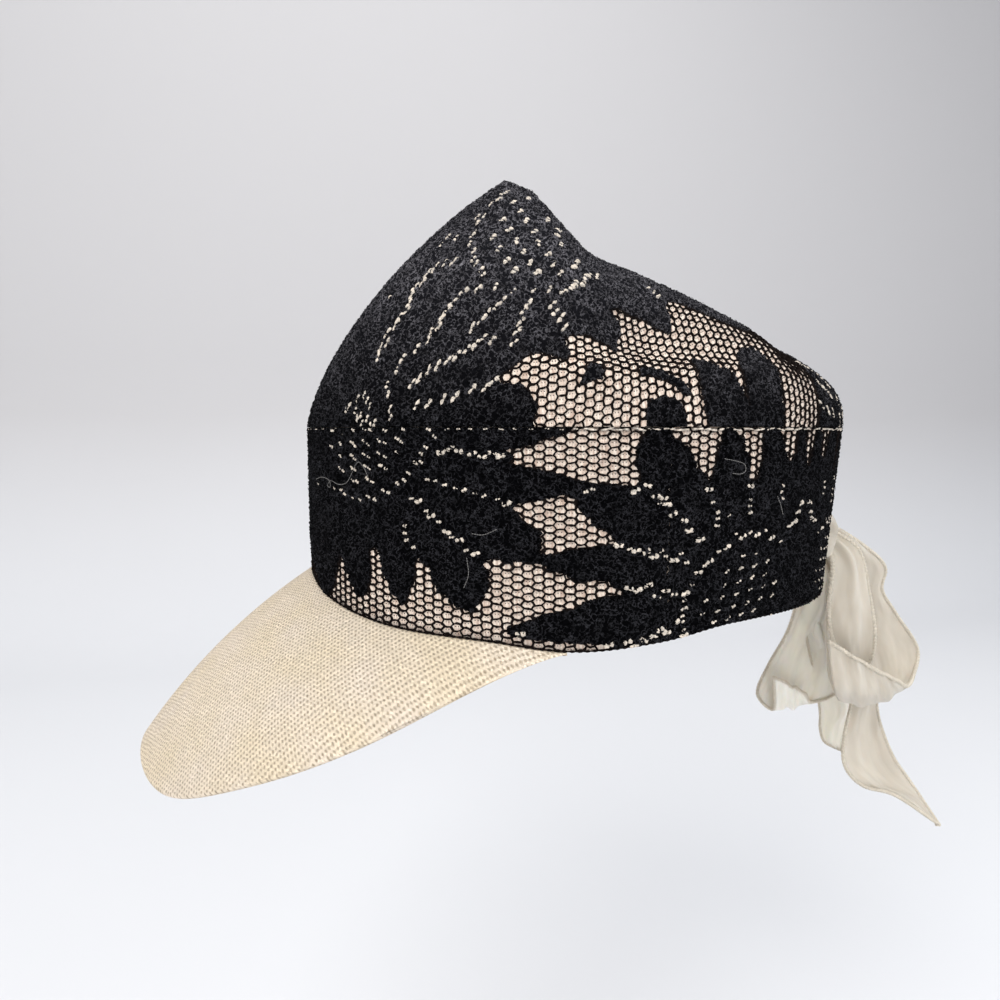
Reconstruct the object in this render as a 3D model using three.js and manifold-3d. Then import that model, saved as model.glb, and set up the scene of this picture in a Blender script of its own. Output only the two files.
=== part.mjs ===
// Sun visor hat: a soft pointed crown and a deep band in flower lace over a pale ground cloth,
// a long drooping peak, and a chiffon scarf tied in a loose bow at the back.
// Millimetres, +Z up, the peak towards -Y, the wearer's left at +X.
// The origin is the middle of the head opening at the level of the side rim.

import * as THREE from 'three';
import { mergeVertices } from 'three/addons/utils/BufferGeometryUtils.js';
import Module from 'manifold-3d';

// Oval of the seam between band and crown, outside of the lace
const OVAL_HALF_LENGTH = 101;
const OVAL_HALF_WIDTH = 85;
const SEAM_HEIGHT = 63;
const BACK_TAPER = 6;

// Cloth layers
const LACE_THICK = 1;
const LINING_THICK = 1;
const GAP = 0.3;
const WALL = LACE_THICK + GAP + LINING_THICK;

// Lower edge of the band from the middle of the front (0 degrees) round to the back (180)
const RIM = [
  { angle: 0, height: 12 },
  { angle: 20, height: 7 },
  { angle: 40, height: 3 },
  { angle: 60, height: 1.5 },
  { angle: 75, height: -1 },
  { angle: 90, height: 1 },
  { angle: 104, height: 4.5 },
  { angle: 130, height: 4.5 },
  { angle: 180, height: 3 },
];

// Crown: height of the ridge over the seam, from the point back along the middle plane
const RIDGE = [
  { y: -25, height: 87.5 },
  { y: -8, height: 70.5 },
  { y: 11, height: 61 },
  { y: 57, height: 33.5 },
  { y: 85, height: 24 },
];
// Crown: how each side line rises from the seam to the ridge. The share run is the way in to the ridge and
// rise the way up to it at the control point of a quadratic curve.
const SIDE_CURVE = [
  { angle: 0, run: 0.08, rise: 0.42 },
  { angle: 60, run: 0.24, rise: 1.04 },
  { angle: 90, run: 0.25, rise: 0.82 },
  { angle: 120, run: 0.09, rise: 1.13 },
  { angle: 150, run: -0.08, rise: 0.87 },
  { angle: 180, run: 0.03, rise: 0.86 },
];
const RIDGE_OFFSET = 1.6;
// Crown: the soft crease on the wearer's left, over a low bulge
const CREASE = { angle: 97, spread: 40, foot: 16, top: 23, fade: 46, depth: 5 };
const BULGE = { angle: 78, spread: 26, middle: 15, reach: 15, depth: 2 };

// Peak: ends on the rim, then the outer edge from the middle (0) to each end (90)
const PEAK_END_ANGLE = 74;
const PEAK_TIP_Y = -160.5;
const PEAK_ROUNDNESS = 0.75;
const PEAK_EDGE = [
  { turn: 0, height: -46 },
  { turn: 30, height: -50 },
  { turn: 50, height: -41 },
  { turn: 70, height: -26 },
  { turn: 90, height: -1.5 },
];
const PEAK_LAST_TURN = 89;
const PEAK_THICK = 2.5;
const PEAK_SWELL = 0.05;

// Scarf
const SCARF_THICK = 1.2;
const KNOT = { y: 106.5, z: 22, halfX: 13, halfY: 9.2, halfZ: 13, foldDepth: 0.09, folds: 5 };

// Each row is a line across the cloth: its middle, half of its width as a vector, and how far its middle
// sags down and swells towards the wearer's left.
const LOOP_LEFT = [
  { x: 0, y: 111, z: 19, halfX: -2, halfY: 1.5, halfZ: 3, sag: 0, swell: 0 },
  { x: -1, y: 119.5, z: 15.5, halfX: -2, halfY: 3.5, halfZ: 3.5, sag: 0, swell: 1 },
  { x: -3.5, y: 129.5, z: 3, halfX: -3.5, halfY: 13, halfZ: 5, sag: 0, swell: -2 },
  { x: -6, y: 135, z: -6, halfX: -4, halfY: 17.5, halfZ: 5.5, sag: 0, swell: -3 },
  { x: -8, y: 136, z: -16, halfX: -4, halfY: 17, halfZ: 5, sag: 0, swell: -4 },
  { x: -9.5, y: 141.5, z: -28, halfX: -3.5, halfY: 20.5, halfZ: 5, sag: 1, swell: -5 },
  { x: -9.5, y: 148.5, z: -43.5, halfX: -3.5, halfY: 26, halfZ: 3.5, sag: 4, swell: -5 },
  { x: -2.5, y: 144.5, z: -53, halfX: -3.5, halfY: 22, halfZ: 2.5, sag: 7, swell: -1 },
  { x: 8.5, y: 132.5, z: -47.5, halfX: -3.5, halfY: 21, halfZ: -3, sag: 4, swell: 3 },
  { x: 14, y: 124, z: -34.5, halfX: -2, halfY: 19, halfZ: -10.5, sag: 1, swell: 3 },
];
const INNER_FOLD = [
  { x: 7, y: 109.5, z: 19, halfX: 0, halfY: 1.5, halfZ: 2, sag: 0, swell: 0 },
  { x: 9, y: 117, z: 9, halfX: 0, halfY: 6, halfZ: 3, sag: 0, swell: 2 },
  { x: 8, y: 120, z: -8.5, halfX: 1, halfY: 8.5, halfZ: 3, sag: 0, swell: 3 },
  { x: 6, y: 124.5, z: -24.5, halfX: 1, halfY: 9.5, halfZ: 1, sag: 0, swell: 1 },
  { x: 3.5, y: 128.5, z: -35.5, halfX: 0.5, halfY: 7.5, halfZ: -0.5, sag: 1, swell: 0 },
  { x: 2, y: 130, z: -42, halfX: 0, halfY: 4, halfZ: 0.5, sag: 1, swell: 0 },
];
const LOOP_RIGHT = [
  { x: -9, y: 107, z: 17, halfX: 0.5, halfY: 2.5, halfZ: 0.5, sag: 0, swell: 0 },
  { x: -15.5, y: 122, z: 4.5, halfX: 0.5, halfY: 7.5, halfZ: 0.5, sag: 0, swell: 1 },
  { x: -23, y: 126.5, z: -17, halfX: 1, halfY: 9, halfZ: 0, sag: 0, swell: 2 },
  { x: -27.5, y: 127, z: -34, halfX: 0.5, halfY: 12, halfZ: -1.5, sag: 0, swell: -2 },
  { x: -29, y: 123.5, z: -50, halfX: 1, halfY: 16, halfZ: -3, sag: 1, swell: -3 },
  { x: -28, y: 118.5, z: -63.5, halfX: 1, halfY: 18, halfZ: -4.5, sag: 2, swell: -2 },
  { x: -26, y: 117.5, z: -69, halfX: 0, halfY: 9, halfZ: 1, sag: 1, swell: 0 },
  { x: -19, y: 112, z: -60.5, halfX: -1, halfY: 7, halfZ: -4, sag: 0, swell: 1 },
];
const TAIL_SHORT = [
  { x: -7, y: 104.5, z: 12, halfX: 0.5, halfY: 2.5, halfZ: 0, sag: 0, swell: 0 },
  { x: -11, y: 114, z: 0, halfX: 0.5, halfY: 4, halfZ: 0, sag: 0, swell: 0 },
  { x: -19, y: 125, z: -24.5, halfX: 0, halfY: 6, halfZ: -0.5, sag: 0, swell: 1 },
  { x: -22.5, y: 131.5, z: -54, halfX: 0, halfY: 8.5, halfZ: -0.5, sag: 0, swell: -1.5 },
  { x: -22, y: 133.5, z: -70, halfX: 0, halfY: 9.5, halfZ: 0, sag: 0, swell: 1 },
  { x: -21, y: 133, z: -79.5, halfX: 0, halfY: 7.5, halfZ: 0, sag: 1, swell: 0 },
  { x: -20, y: 133, z: -84.5, halfX: 0, halfY: 3, halfZ: -1, sag: 0, swell: 0 },
];
const TAIL_LONG = [
  { x: -3, y: 111, z: 13.5, halfX: 0, halfY: 1.5, halfZ: 1, sag: 0, swell: 0 },
  { x: -8, y: 124, z: 3, halfX: 0, halfY: 3.5, halfZ: 1, sag: 0, swell: 0 },
  { x: -17.5, y: 141.5, z: -25, halfX: 0, halfY: 6, halfZ: 1, sag: 0, swell: -1 },
  { x: -18.5, y: 146.5, z: -50.5, halfX: 0, halfY: 6, halfZ: 0, sag: 0, swell: 1 },
  { x: -16.5, y: 149, z: -62, halfX: 0, halfY: 6, halfZ: 0.5, sag: 0, swell: 1.5 },
  { x: -14, y: 147.5, z: -77.5, halfX: -1, halfY: 10, halfZ: 2, sag: 0, swell: -1 },
  { x: -11, y: 149.5, z: -91.5, halfX: -1, halfY: 13.5, halfZ: 0.5, sag: 1, swell: -2 },
  { x: -9, y: 157, z: -101.5, halfX: -1, halfY: 13, halfZ: 0, sag: 1.5, swell: -1 },
  { x: -7, y: 168.5, z: -109.5, halfX: -1, halfY: 8.5, halfZ: -2.5, sag: 0, swell: 0 },
  { x: -5.5, y: 184, z: -123.5, halfX: -0.5, halfY: 1.6, halfZ: -1.3, sag: 0, swell: 0 },
];

// Facets
const ROUND_STEPS = 60;
const CROWN_LEVELS = [0, 0.04, 0.08, 0.12, 0.16, 0.21, 0.27, 0.34, 0.43, 0.54, 0.67, 0.83, 1];
const BAND_LEVELS = [0, 0.25, 0.5, 0.75, 1];
const PEAK_STEPS = 32;
const PEAK_LEVELS = [0, 0.2, 0.4, 0.6, 0.8, 1];
const SCARF_ACROSS = 6;
const SCARF_ALONG = 14;
const KNOT_SIDES = 18;
const KNOT_RINGS = 10;
const MERGE_DISTANCE = 1e-4;

const LACE = { color: 0x17161a, roughness: 0.95 };
const LINING = { color: 0xe8d8c9, roughness: 0.8 };
const STRAW_CLOTH = { color: 0xeedcb2, roughness: 0.85 };
const CHIFFON = { color: 0xf0e9da, roughness: 0.7 };

const wasm = await Module();
wasm.setup();

const radians = THREE.MathUtils.degToRad;
const mix = THREE.MathUtils.lerp;

// Straight steps between the rows of a table
function readTable(rows, key, column, value) {
  const last = rows.length - 1;
  if (value <= rows[0][key]) return rows[0][column];
  if (value >= rows[last][key]) return rows[last][column];
  const i = rows.findIndex((row) => row[key] > value);
  const share = (value - rows[i - 1][key]) / (rows[i][key] - rows[i - 1][key]);
  return mix(rows[i - 1][column], rows[i][column], share);
}

// A smooth curve through the rows of a table, each span with the mean slope of its neighbours at its ends.
// It starts level where the table is one side of a symmetrical form.
function readCurve(rows, key, column, value, startsLevel) {
  const last = rows.length - 1;
  const held = THREE.MathUtils.clamp(value, rows[0][key], rows[last][key]);
  const i = Math.max(1, rows.findIndex((row) => row[key] >= held));
  const slope = (k) => {
    const before = rows[Math.max(k - 1, 0)];
    const after = rows[Math.min(k + 1, last)];
    return (after[column] - before[column]) / (after[key] - before[key]);
  };
  const span = rows[i][key] - rows[i - 1][key];
  const t = (held - rows[i - 1][key]) / span;
  const startSlope = startsLevel && i === 1 ? 0 : slope(i - 1);
  return (2 * t ** 3 - 3 * t ** 2 + 1) * rows[i - 1][column] + (t ** 3 - 2 * t ** 2 + t) * span * startSlope
    + (3 * t ** 2 - 2 * t ** 3) * rows[i][column] + (t ** 3 - t ** 2) * span * slope(i);
}

// One where the angle is at the middle of a soft window, falling to nothing at its sides
function softWindow(value, middle, spread) {
  const share = Math.abs(value - middle) / spread;
  return share < 1 ? Math.cos((share * Math.PI) / 2) ** 2 : 0;
}

// Degrees from the middle of the front, 0 to 180 on either side
function sideAngle(angle) {
  const turned = ((angle % 360) + 360) % 360;
  return turned > 180 ? 360 - turned : turned;
}

// Head oval at a height, set in from the outside of the lace by inset. Below the seam its back draws in.
function ovalPoint(angle, height, inset) {
  const back = ((1 - Math.cos(radians(angle))) / 2) ** 2;
  const drop = Math.max(0, 1 - height / SEAM_HEIGHT);
  const shrink = 1 - (BACK_TAPER / OVAL_HALF_LENGTH) * drop * back;
  return new THREE.Vector3(
    (OVAL_HALF_WIDTH * shrink - inset) * Math.sin(radians(angle)),
    -(OVAL_HALF_LENGTH * shrink - inset) * Math.cos(radians(angle)),
    height,
  );
}

function rimHeight(angle) {
  return readCurve(RIM, 'angle', 'height', sideAngle(angle), true);
}

// Crown surface: level 0 at the seam, 1 on the ridge
function crownPoint(angle, level, inset) {
  const side = sideAngle(angle);
  const foot = ovalPoint(angle, SEAM_HEIGHT, inset);
  const ridgeY = THREE.MathUtils.clamp(foot.y, RIDGE[0].y, RIDGE[RIDGE.length - 1].y);
  const ridgeRise = readTable(RIDGE, 'y', 'height', ridgeY) - RIDGE_OFFSET * inset;
  const run = readTable(SIDE_CURVE, 'angle', 'run', side);
  const rise = readTable(SIDE_CURVE, 'angle', 'rise', side);
  const inwards = 2 * level * (1 - level) * run + level ** 2;
  const upwards = (2 * level * (1 - level) * rise + level ** 2) * ridgeRise;
  const crease = CREASE.depth * softWindow(angle, CREASE.angle, CREASE.spread)
    * THREE.MathUtils.smoothstep(upwards, CREASE.foot, CREASE.top)
    * (1 - THREE.MathUtils.smoothstep(upwards, CREASE.top, CREASE.fade));
  const bulge = BULGE.depth * softWindow(angle, BULGE.angle, BULGE.spread)
    * softWindow(upwards, BULGE.middle, BULGE.reach);
  const outwards = new THREE.Vector3(foot.x, foot.y, 0).normalize()
    .multiplyScalar((bulge - crease) * (1 - level ** 2));
  return new THREE.Vector3(
    mix(foot.x, 0, inwards) + outwards.x,
    mix(foot.y, ridgeY, inwards) + outwards.y,
    SEAM_HEIGHT + GAP + upwards,
  );
}

// One closed surface: its shared vertices merged and its collapsed triangles left out
function closedSurface(geometry) {
  const merged = mergeVertices(geometry, MERGE_DISTANCE);
  const index = Array.from(merged.index.array);
  const kept = [];
  for (let i = 0; i < index.length; i += 3) {
    const [a, b, c] = index.slice(i, i + 3);
    if (a !== b && b !== c && c !== a) kept.push(a, b, c);
  }
  merged.setIndex(kept);
  return merged;
}

function surfaceOfQuads(points, quads) {
  const geometry = new THREE.BufferGeometry().setFromPoints(points);
  geometry.setIndex(quads.flatMap(([a, b, c, d]) => [a, b, c, a, c, d]));
  return closedSurface(geometry);
}

// A wall between an outer and an inner skin that both run round the hat. The skins meet a foot face, and a
// top face unless each closes on its own ridge.
function roundWall(outerPoint, innerPoint, levels, closedTop) {
  const points = [];
  const quads = [];
  const index = (skin, level, step) => (skin * levels.length + level) * ROUND_STEPS + (step % ROUND_STEPS);
  for (const skinPoint of [outerPoint, innerPoint]) {
    for (const level of levels) {
      for (let step = 0; step < ROUND_STEPS; step += 1) {
        points.push(skinPoint((step * 360) / ROUND_STEPS, level));
      }
    }
  }
  const top = levels.length - 1;
  for (let step = 0; step < ROUND_STEPS; step += 1) {
    for (let level = 0; level < top; level += 1) {
      quads.push([index(0, level, step), index(0, level, step + 1),
        index(0, level + 1, step + 1), index(0, level + 1, step)]);
      quads.push([index(1, level, step), index(1, level + 1, step),
        index(1, level + 1, step + 1), index(1, level, step + 1)]);
    }
    quads.push([index(0, 0, step), index(1, 0, step), index(1, 0, step + 1), index(0, 0, step + 1)]);
    if (!closedTop) {
      quads.push([index(0, top, step), index(0, top, step + 1), index(1, top, step + 1), index(1, top, step)]);
    }
  }
  return surfaceOfQuads(points, quads);
}

function crownShell(outerInset, innerInset) {
  return roundWall(
    (angle, level) => crownPoint(angle, level, outerInset),
    (angle, level) => crownPoint(angle, level, innerInset),
    CROWN_LEVELS,
    true,
  );
}

function bandShell(outerInset, innerInset) {
  const bandPoint = (inset) => (angle, level) => (
    ovalPoint(angle, mix(rimHeight(angle), SEAM_HEIGHT, level), inset));
  return roundWall(bandPoint(outerInset), bandPoint(innerInset), BAND_LEVELS, false);
}

// A sheet of cloth of even thickness, laid over a grid of rows of points, half to each side of the grid or
// all below it
function sheetSolid(rows, thickness, above) {
  const down = rows.length;
  const across = rows[0].length;
  const normals = rows.map((row, i) => row.map((point, j) => {
    const alongRows = rows[Math.min(i + 1, down - 1)][j].clone().sub(rows[Math.max(i - 1, 0)][j]);
    const alongRow = row[Math.min(j + 1, across - 1)].clone().sub(row[Math.max(j - 1, 0)]);
    return alongRows.cross(alongRow).normalize();
  }));
  const points = [above, above - 1].flatMap((share) => rows.flatMap((row, i) => (
    row.map((point, j) => point.clone().addScaledVector(normals[i][j], share * thickness)))));
  const index = (skin, i, j) => (skin * down + i) * across + j;
  const quads = [];
  for (let i = 0; i < down - 1; i += 1) {
    for (let j = 0; j < across - 1; j += 1) {
      quads.push([index(0, i, j), index(0, i + 1, j), index(0, i + 1, j + 1), index(0, i, j + 1)]);
      quads.push([index(1, i, j), index(1, i, j + 1), index(1, i + 1, j + 1), index(1, i + 1, j)]);
    }
    quads.push([index(0, i, 0), index(1, i, 0), index(1, i + 1, 0), index(0, i + 1, 0)]);
    quads.push([index(0, i, across - 1), index(0, i + 1, across - 1),
      index(1, i + 1, across - 1), index(1, i, across - 1)]);
  }
  for (let j = 0; j < across - 1; j += 1) {
    quads.push([index(0, 0, j), index(0, 0, j + 1), index(1, 0, j + 1), index(1, 0, j)]);
    quads.push([index(0, down - 1, j), index(1, down - 1, j),
      index(1, down - 1, j + 1), index(0, down - 1, j + 1)]);
  }
  return surfaceOfQuads(points, quads);
}

// Outer edge of the peak, turn -90 to 90 degrees from end to end
function peakEdgePoint(turn) {
  const end = ovalPoint(PEAK_END_ANGLE, rimHeight(PEAK_END_ANGLE), 0);
  const forwards = Math.max(0, Math.cos(radians(turn))) ** PEAK_ROUNDNESS;
  return new THREE.Vector3(
    end.x * Math.sin(radians(turn)),
    mix(end.y, PEAK_TIP_Y, forwards),
    readCurve(PEAK_EDGE, 'turn', 'height', Math.abs(turn), true),
  );
}

// The peak is a sheet that lies under the foot of the band and then slopes down to its outer edge
function peakGeometry() {
  const rows = [];
  for (let step = 0; step <= PEAK_STEPS; step += 1) {
    const turn = mix(PEAK_LAST_TURN, -PEAK_LAST_TURN, step / PEAK_STEPS);
    const angle = (PEAK_END_ANGLE * turn) / 90;
    const height = rimHeight(angle) - GAP;
    const rim = ovalPoint(angle, height, 0);
    const edge = peakEdgePoint(turn);
    const reach = rim.distanceTo(edge);
    const row = [ovalPoint(angle, height, WALL)];
    for (const level of PEAK_LEVELS) {
      const swell = 4 * level * (1 - level) * PEAK_SWELL * reach * Math.SQRT1_2;
      row.push(rim.clone().lerp(edge, level).add(new THREE.Vector3(0, -swell, swell)));
    }
    rows.push(row);
  }
  return sheetSolid(rows, PEAK_THICK, 0);
}

// Points across and along a hanging sheet, from its table of lines
function drapeRows(table) {
  const columns = ['x', 'y', 'z', 'halfX', 'halfY', 'halfZ', 'sag', 'swell'];
  const keyed = table.map((row, i) => ({ ...row, place: i }));
  const rows = [];
  for (let step = 0; step <= SCARF_ALONG; step += 1) {
    const place = (step / SCARF_ALONG) * (table.length - 1);
    const line = Object.fromEntries(
      columns.map((name) => [name, readCurve(keyed, 'place', name, place, false)]),
    );
    const row = [];
    for (let j = 0; j <= SCARF_ACROSS; j += 1) {
      const side = (2 * j) / SCARF_ACROSS - 1;
      const middle = 1 - side ** 2;
      row.push(new THREE.Vector3(
        line.x + side * line.halfX + middle * line.swell,
        line.y + side * line.halfY,
        line.z + side * line.halfZ - middle * line.sag,
      ));
    }
    rows.push(row);
  }
  return rows;
}

// The knot: a rounded lump with pinched folds round it, flat where it lies on the back of the band
function knotGeometry(grow) {
  const ball = new THREE.SphereGeometry(1, KNOT_SIDES, KNOT_RINGS);
  ball.deleteAttribute('normal');
  ball.deleteAttribute('uv');
  const place = ball.attributes.position;
  for (let i = 0; i < place.count; i += 1) {
    const turn = Math.atan2(place.getZ(i), place.getX(i));
    const fold = 1 - KNOT.foldDepth * (0.5 + 0.5 * Math.cos(KNOT.folds * turn)) * (1 - place.getY(i) ** 2);
    const z = KNOT.z + place.getZ(i) * (KNOT.halfZ * fold + grow);
    const y = KNOT.y + place.getY(i) * (KNOT.halfY + grow);
    const seat = ovalPoint(180, z, 0).y + GAP - grow;
    place.setXYZ(i, place.getX(i) * (KNOT.halfX * fold + grow), Math.max(y, seat), z);
  }
  return closedSurface(ball);
}

function solidOf(geometry) {
  return new wasm.Manifold(new wasm.Mesh({
    numProp: 3,
    vertProperties: Float32Array.from(geometry.attributes.position.array),
    triVerts: Uint32Array.from(geometry.index.array),
  }));
}

function geometryOf(solid) {
  const mesh = solid.getMesh();
  const geometry = new THREE.BufferGeometry();
  geometry.setAttribute('position', new THREE.BufferAttribute(Float32Array.from(mesh.vertProperties), 3));
  geometry.setIndex(Array.from(mesh.triVerts));
  return geometry;
}

// A hanging sheet that starts at the knot and is cut back to lie just clear of it
function scarfSheet(table) {
  const sheet = solidOf(sheetSolid(drapeRows(table), SCARF_THICK, 0.5));
  return geometryOf(sheet.subtract(solidOf(knotGeometry(GAP))));
}

function piece(name, geometry, cloth) {
  const mesh = new THREE.Mesh(geometry, new THREE.MeshStandardMaterial({ ...cloth, metalness: 0 }));
  mesh.name = name;
  return mesh;
}

const crown = new THREE.Group();
crown.add(piece('crown_lace', crownShell(0, LACE_THICK), LACE));
crown.add(piece('crown_lining', crownShell(LACE_THICK + GAP, WALL), LINING));

const band = new THREE.Group();
band.add(piece('band_lace', bandShell(0, LACE_THICK), LACE));
band.add(piece('band_lining', bandShell(LACE_THICK + GAP, WALL), LINING));
band.add(piece('peak', peakGeometry(), STRAW_CLOTH));

const scarf = new THREE.Group();
scarf.add(piece('scarf_knot', knotGeometry(0), CHIFFON));
scarf.add(piece('scarf_loop_left', scarfSheet(LOOP_LEFT), CHIFFON));
scarf.add(piece('scarf_inner_fold', scarfSheet(INNER_FOLD), CHIFFON));
scarf.add(piece('scarf_loop_right', scarfSheet(LOOP_RIGHT), CHIFFON));
scarf.add(piece('scarf_tail_short', scarfSheet(TAIL_SHORT), CHIFFON));
scarf.add(piece('scarf_tail_long', scarfSheet(TAIL_LONG), CHIFFON));

const hat = new THREE.Group();
hat.add(crown, band, scarf);

export default hat;
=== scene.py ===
"""Sun visor hat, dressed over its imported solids.

A soft pointed crown and a deep band in black flower lace over a pale ground cloth, a long drooping peak in
coarse woven cloth, and a chiffon scarf tied in a loose bow at the back.

Sizes are millimetres in the hat's own frame: +Z up, the peak towards -Y, the wearer's left at +X, the origin
in the middle of the head opening at the level of the side rim. Meshes are written in metres.
"""

import copy
import functools
import logging
import math
from dataclasses import dataclass, field
from enum import IntEnum
from typing import NamedTuple, Sequence

import bpy
import numpy as np
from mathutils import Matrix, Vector

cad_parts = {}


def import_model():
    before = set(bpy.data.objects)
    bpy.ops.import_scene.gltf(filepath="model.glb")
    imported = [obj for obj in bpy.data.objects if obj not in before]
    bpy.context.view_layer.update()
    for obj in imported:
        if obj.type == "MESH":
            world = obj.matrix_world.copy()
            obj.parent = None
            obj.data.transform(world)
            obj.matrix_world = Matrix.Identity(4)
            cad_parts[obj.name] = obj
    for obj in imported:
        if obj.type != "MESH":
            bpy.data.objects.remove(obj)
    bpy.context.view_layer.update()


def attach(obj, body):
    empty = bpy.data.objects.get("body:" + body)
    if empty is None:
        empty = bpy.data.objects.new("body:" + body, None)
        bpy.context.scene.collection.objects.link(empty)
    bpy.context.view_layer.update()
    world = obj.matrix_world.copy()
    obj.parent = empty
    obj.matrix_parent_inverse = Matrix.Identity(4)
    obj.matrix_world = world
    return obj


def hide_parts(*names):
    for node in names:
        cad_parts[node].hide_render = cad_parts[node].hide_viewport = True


MM = 0.001
SEED = 26
BODY = "root"

# Least divisors, and the slack for a place that lies on a boundary
TINY = 1e-9
TINIEST = 1e-12
SLACK = 1e-6

Array = np.ndarray
Piece = bpy.types.Object
Material = bpy.types.Material
Socket = bpy.types.NodeSocket
Span = tuple[float, float]
Point = tuple[float, float, float]
Colour = tuple[float, float, float, float]

log = logging.getLogger("hat")


class RimStop(NamedTuple):
    """Height of the band's lower edge, by degrees from the middle of the front."""
    angle: float
    height: float


class RidgeStop(NamedTuple):
    """Height of the crown's ridge over the seam, by place along the middle plane."""
    y: float
    height: float


class SideStop(NamedTuple):
    """How a side line of the crown leaves the seam: shares of the way in and of the way up."""
    angle: float
    run: float
    rise: float


class EdgeStop(NamedTuple):
    """Height of the peak's outer edge, by turn from its middle."""
    turn: float
    height: float


class Spot(NamedTuple):
    """A place on the flat chart of a cloth, in millimetres."""
    across: float
    up: float


class Line(NamedTuple):
    """A line across a hanging sheet: its middle, half its width, and how far its middle sags and swells."""
    x: float
    y: float
    z: float
    half_x: float
    half_y: float
    half_z: float
    sag: float
    swell: float


RIM = (
    RimStop(0, 12), RimStop(20, 7), RimStop(40, 3), RimStop(60, 1.5), RimStop(75, -1),
    RimStop(90, 1), RimStop(104, 4.5), RimStop(130, 4.5), RimStop(180, 3),
)
RIDGE = (
    RidgeStop(-25, 87.5), RidgeStop(-8, 70.5), RidgeStop(11, 61), RidgeStop(57, 33.5), RidgeStop(85, 24),
)
SIDES = (
    SideStop(0, 0.08, 0.42), SideStop(60, 0.24, 1.04), SideStop(90, 0.25, 0.82),
    SideStop(120, 0.09, 1.13), SideStop(150, -0.08, 0.87), SideStop(180, 0.03, 0.86),
)
PEAK_EDGE = (
    EdgeStop(0, -46), EdgeStop(30, -50), EdgeStop(50, -41), EdgeStop(70, -26), EdgeStop(90, -1.5),
)


def column(rows: Sequence[NamedTuple], name: str) -> Array:
    """One named column of a table as an array."""
    return np.array([getattr(row, name) for row in rows], float)


def read_straight(rows: Sequence[NamedTuple], key: str, name: str, value: Array) -> Array:
    """A column read in straight steps between the rows of a table."""
    return np.interp(value, column(rows, key), column(rows, name))


def read_smooth(keys: Array, values: Array, value: Array, starts_level: bool) -> Array:
    """A smooth curve through a column, each span with the mean slope of its neighbours at its ends.

    Args:
        keys: The rising places of the rows.
        values: The column's values there.
        value: Where the curve is read.
        starts_level: Whether the first row is the middle of a symmetrical form.

    Returns:
        The curve's values.
    """
    held = np.clip(value, keys[0], keys[-1])
    row = np.clip(np.searchsorted(keys, held, side="left"), 1, len(keys) - 1)
    place = np.arange(len(keys))
    before, after = np.maximum(place - 1, 0), np.minimum(place + 1, len(keys) - 1)
    slope = (values[after] - values[before]) / (keys[after] - keys[before])
    start = slope[row - 1]
    if starts_level:
        start = np.where(row == 1, 0.0, start)
    span = keys[row] - keys[row - 1]
    t = (held - keys[row - 1]) / span
    return ((2 * t**3 - 3 * t**2 + 1) * values[row - 1] + (t**3 - 2 * t**2 + t) * span * start
            + (3 * t**2 - 2 * t**3) * values[row] + (t**3 - t**2) * span * slope[row])


def soft_window(value: Array, middle: float, spread: float) -> Array:
    """One at the middle of a soft window, falling to nothing at its sides."""
    share = np.abs(value - middle) / spread
    return np.where(share < 1, np.cos(share * np.pi / 2) ** 2, 0.0)


def smooth_step(value: Array, low: float, high: float) -> Array:
    """Nothing below low, one above high and a smooth rise between them."""
    t = np.clip((value - low) / (high - low), 0, 1)
    return t * t * (3 - 2 * t)


def unit(vectors: Array) -> Array:
    """Vectors of length one, in the same directions."""
    return vectors / np.maximum(np.linalg.norm(vectors, axis=-1, keepdims=True), TINY)


def arc_lengths(line: Array) -> Array:
    """The length along a line of points, from its start to each of them."""
    return np.r_[0, np.cumsum(np.linalg.norm(np.diff(line, axis=0), axis=1))]


def circle(sides: int) -> Array:
    """The turns of even places round a circle."""
    return np.linspace(0, 2 * np.pi, sides, endpoint=False)


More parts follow.
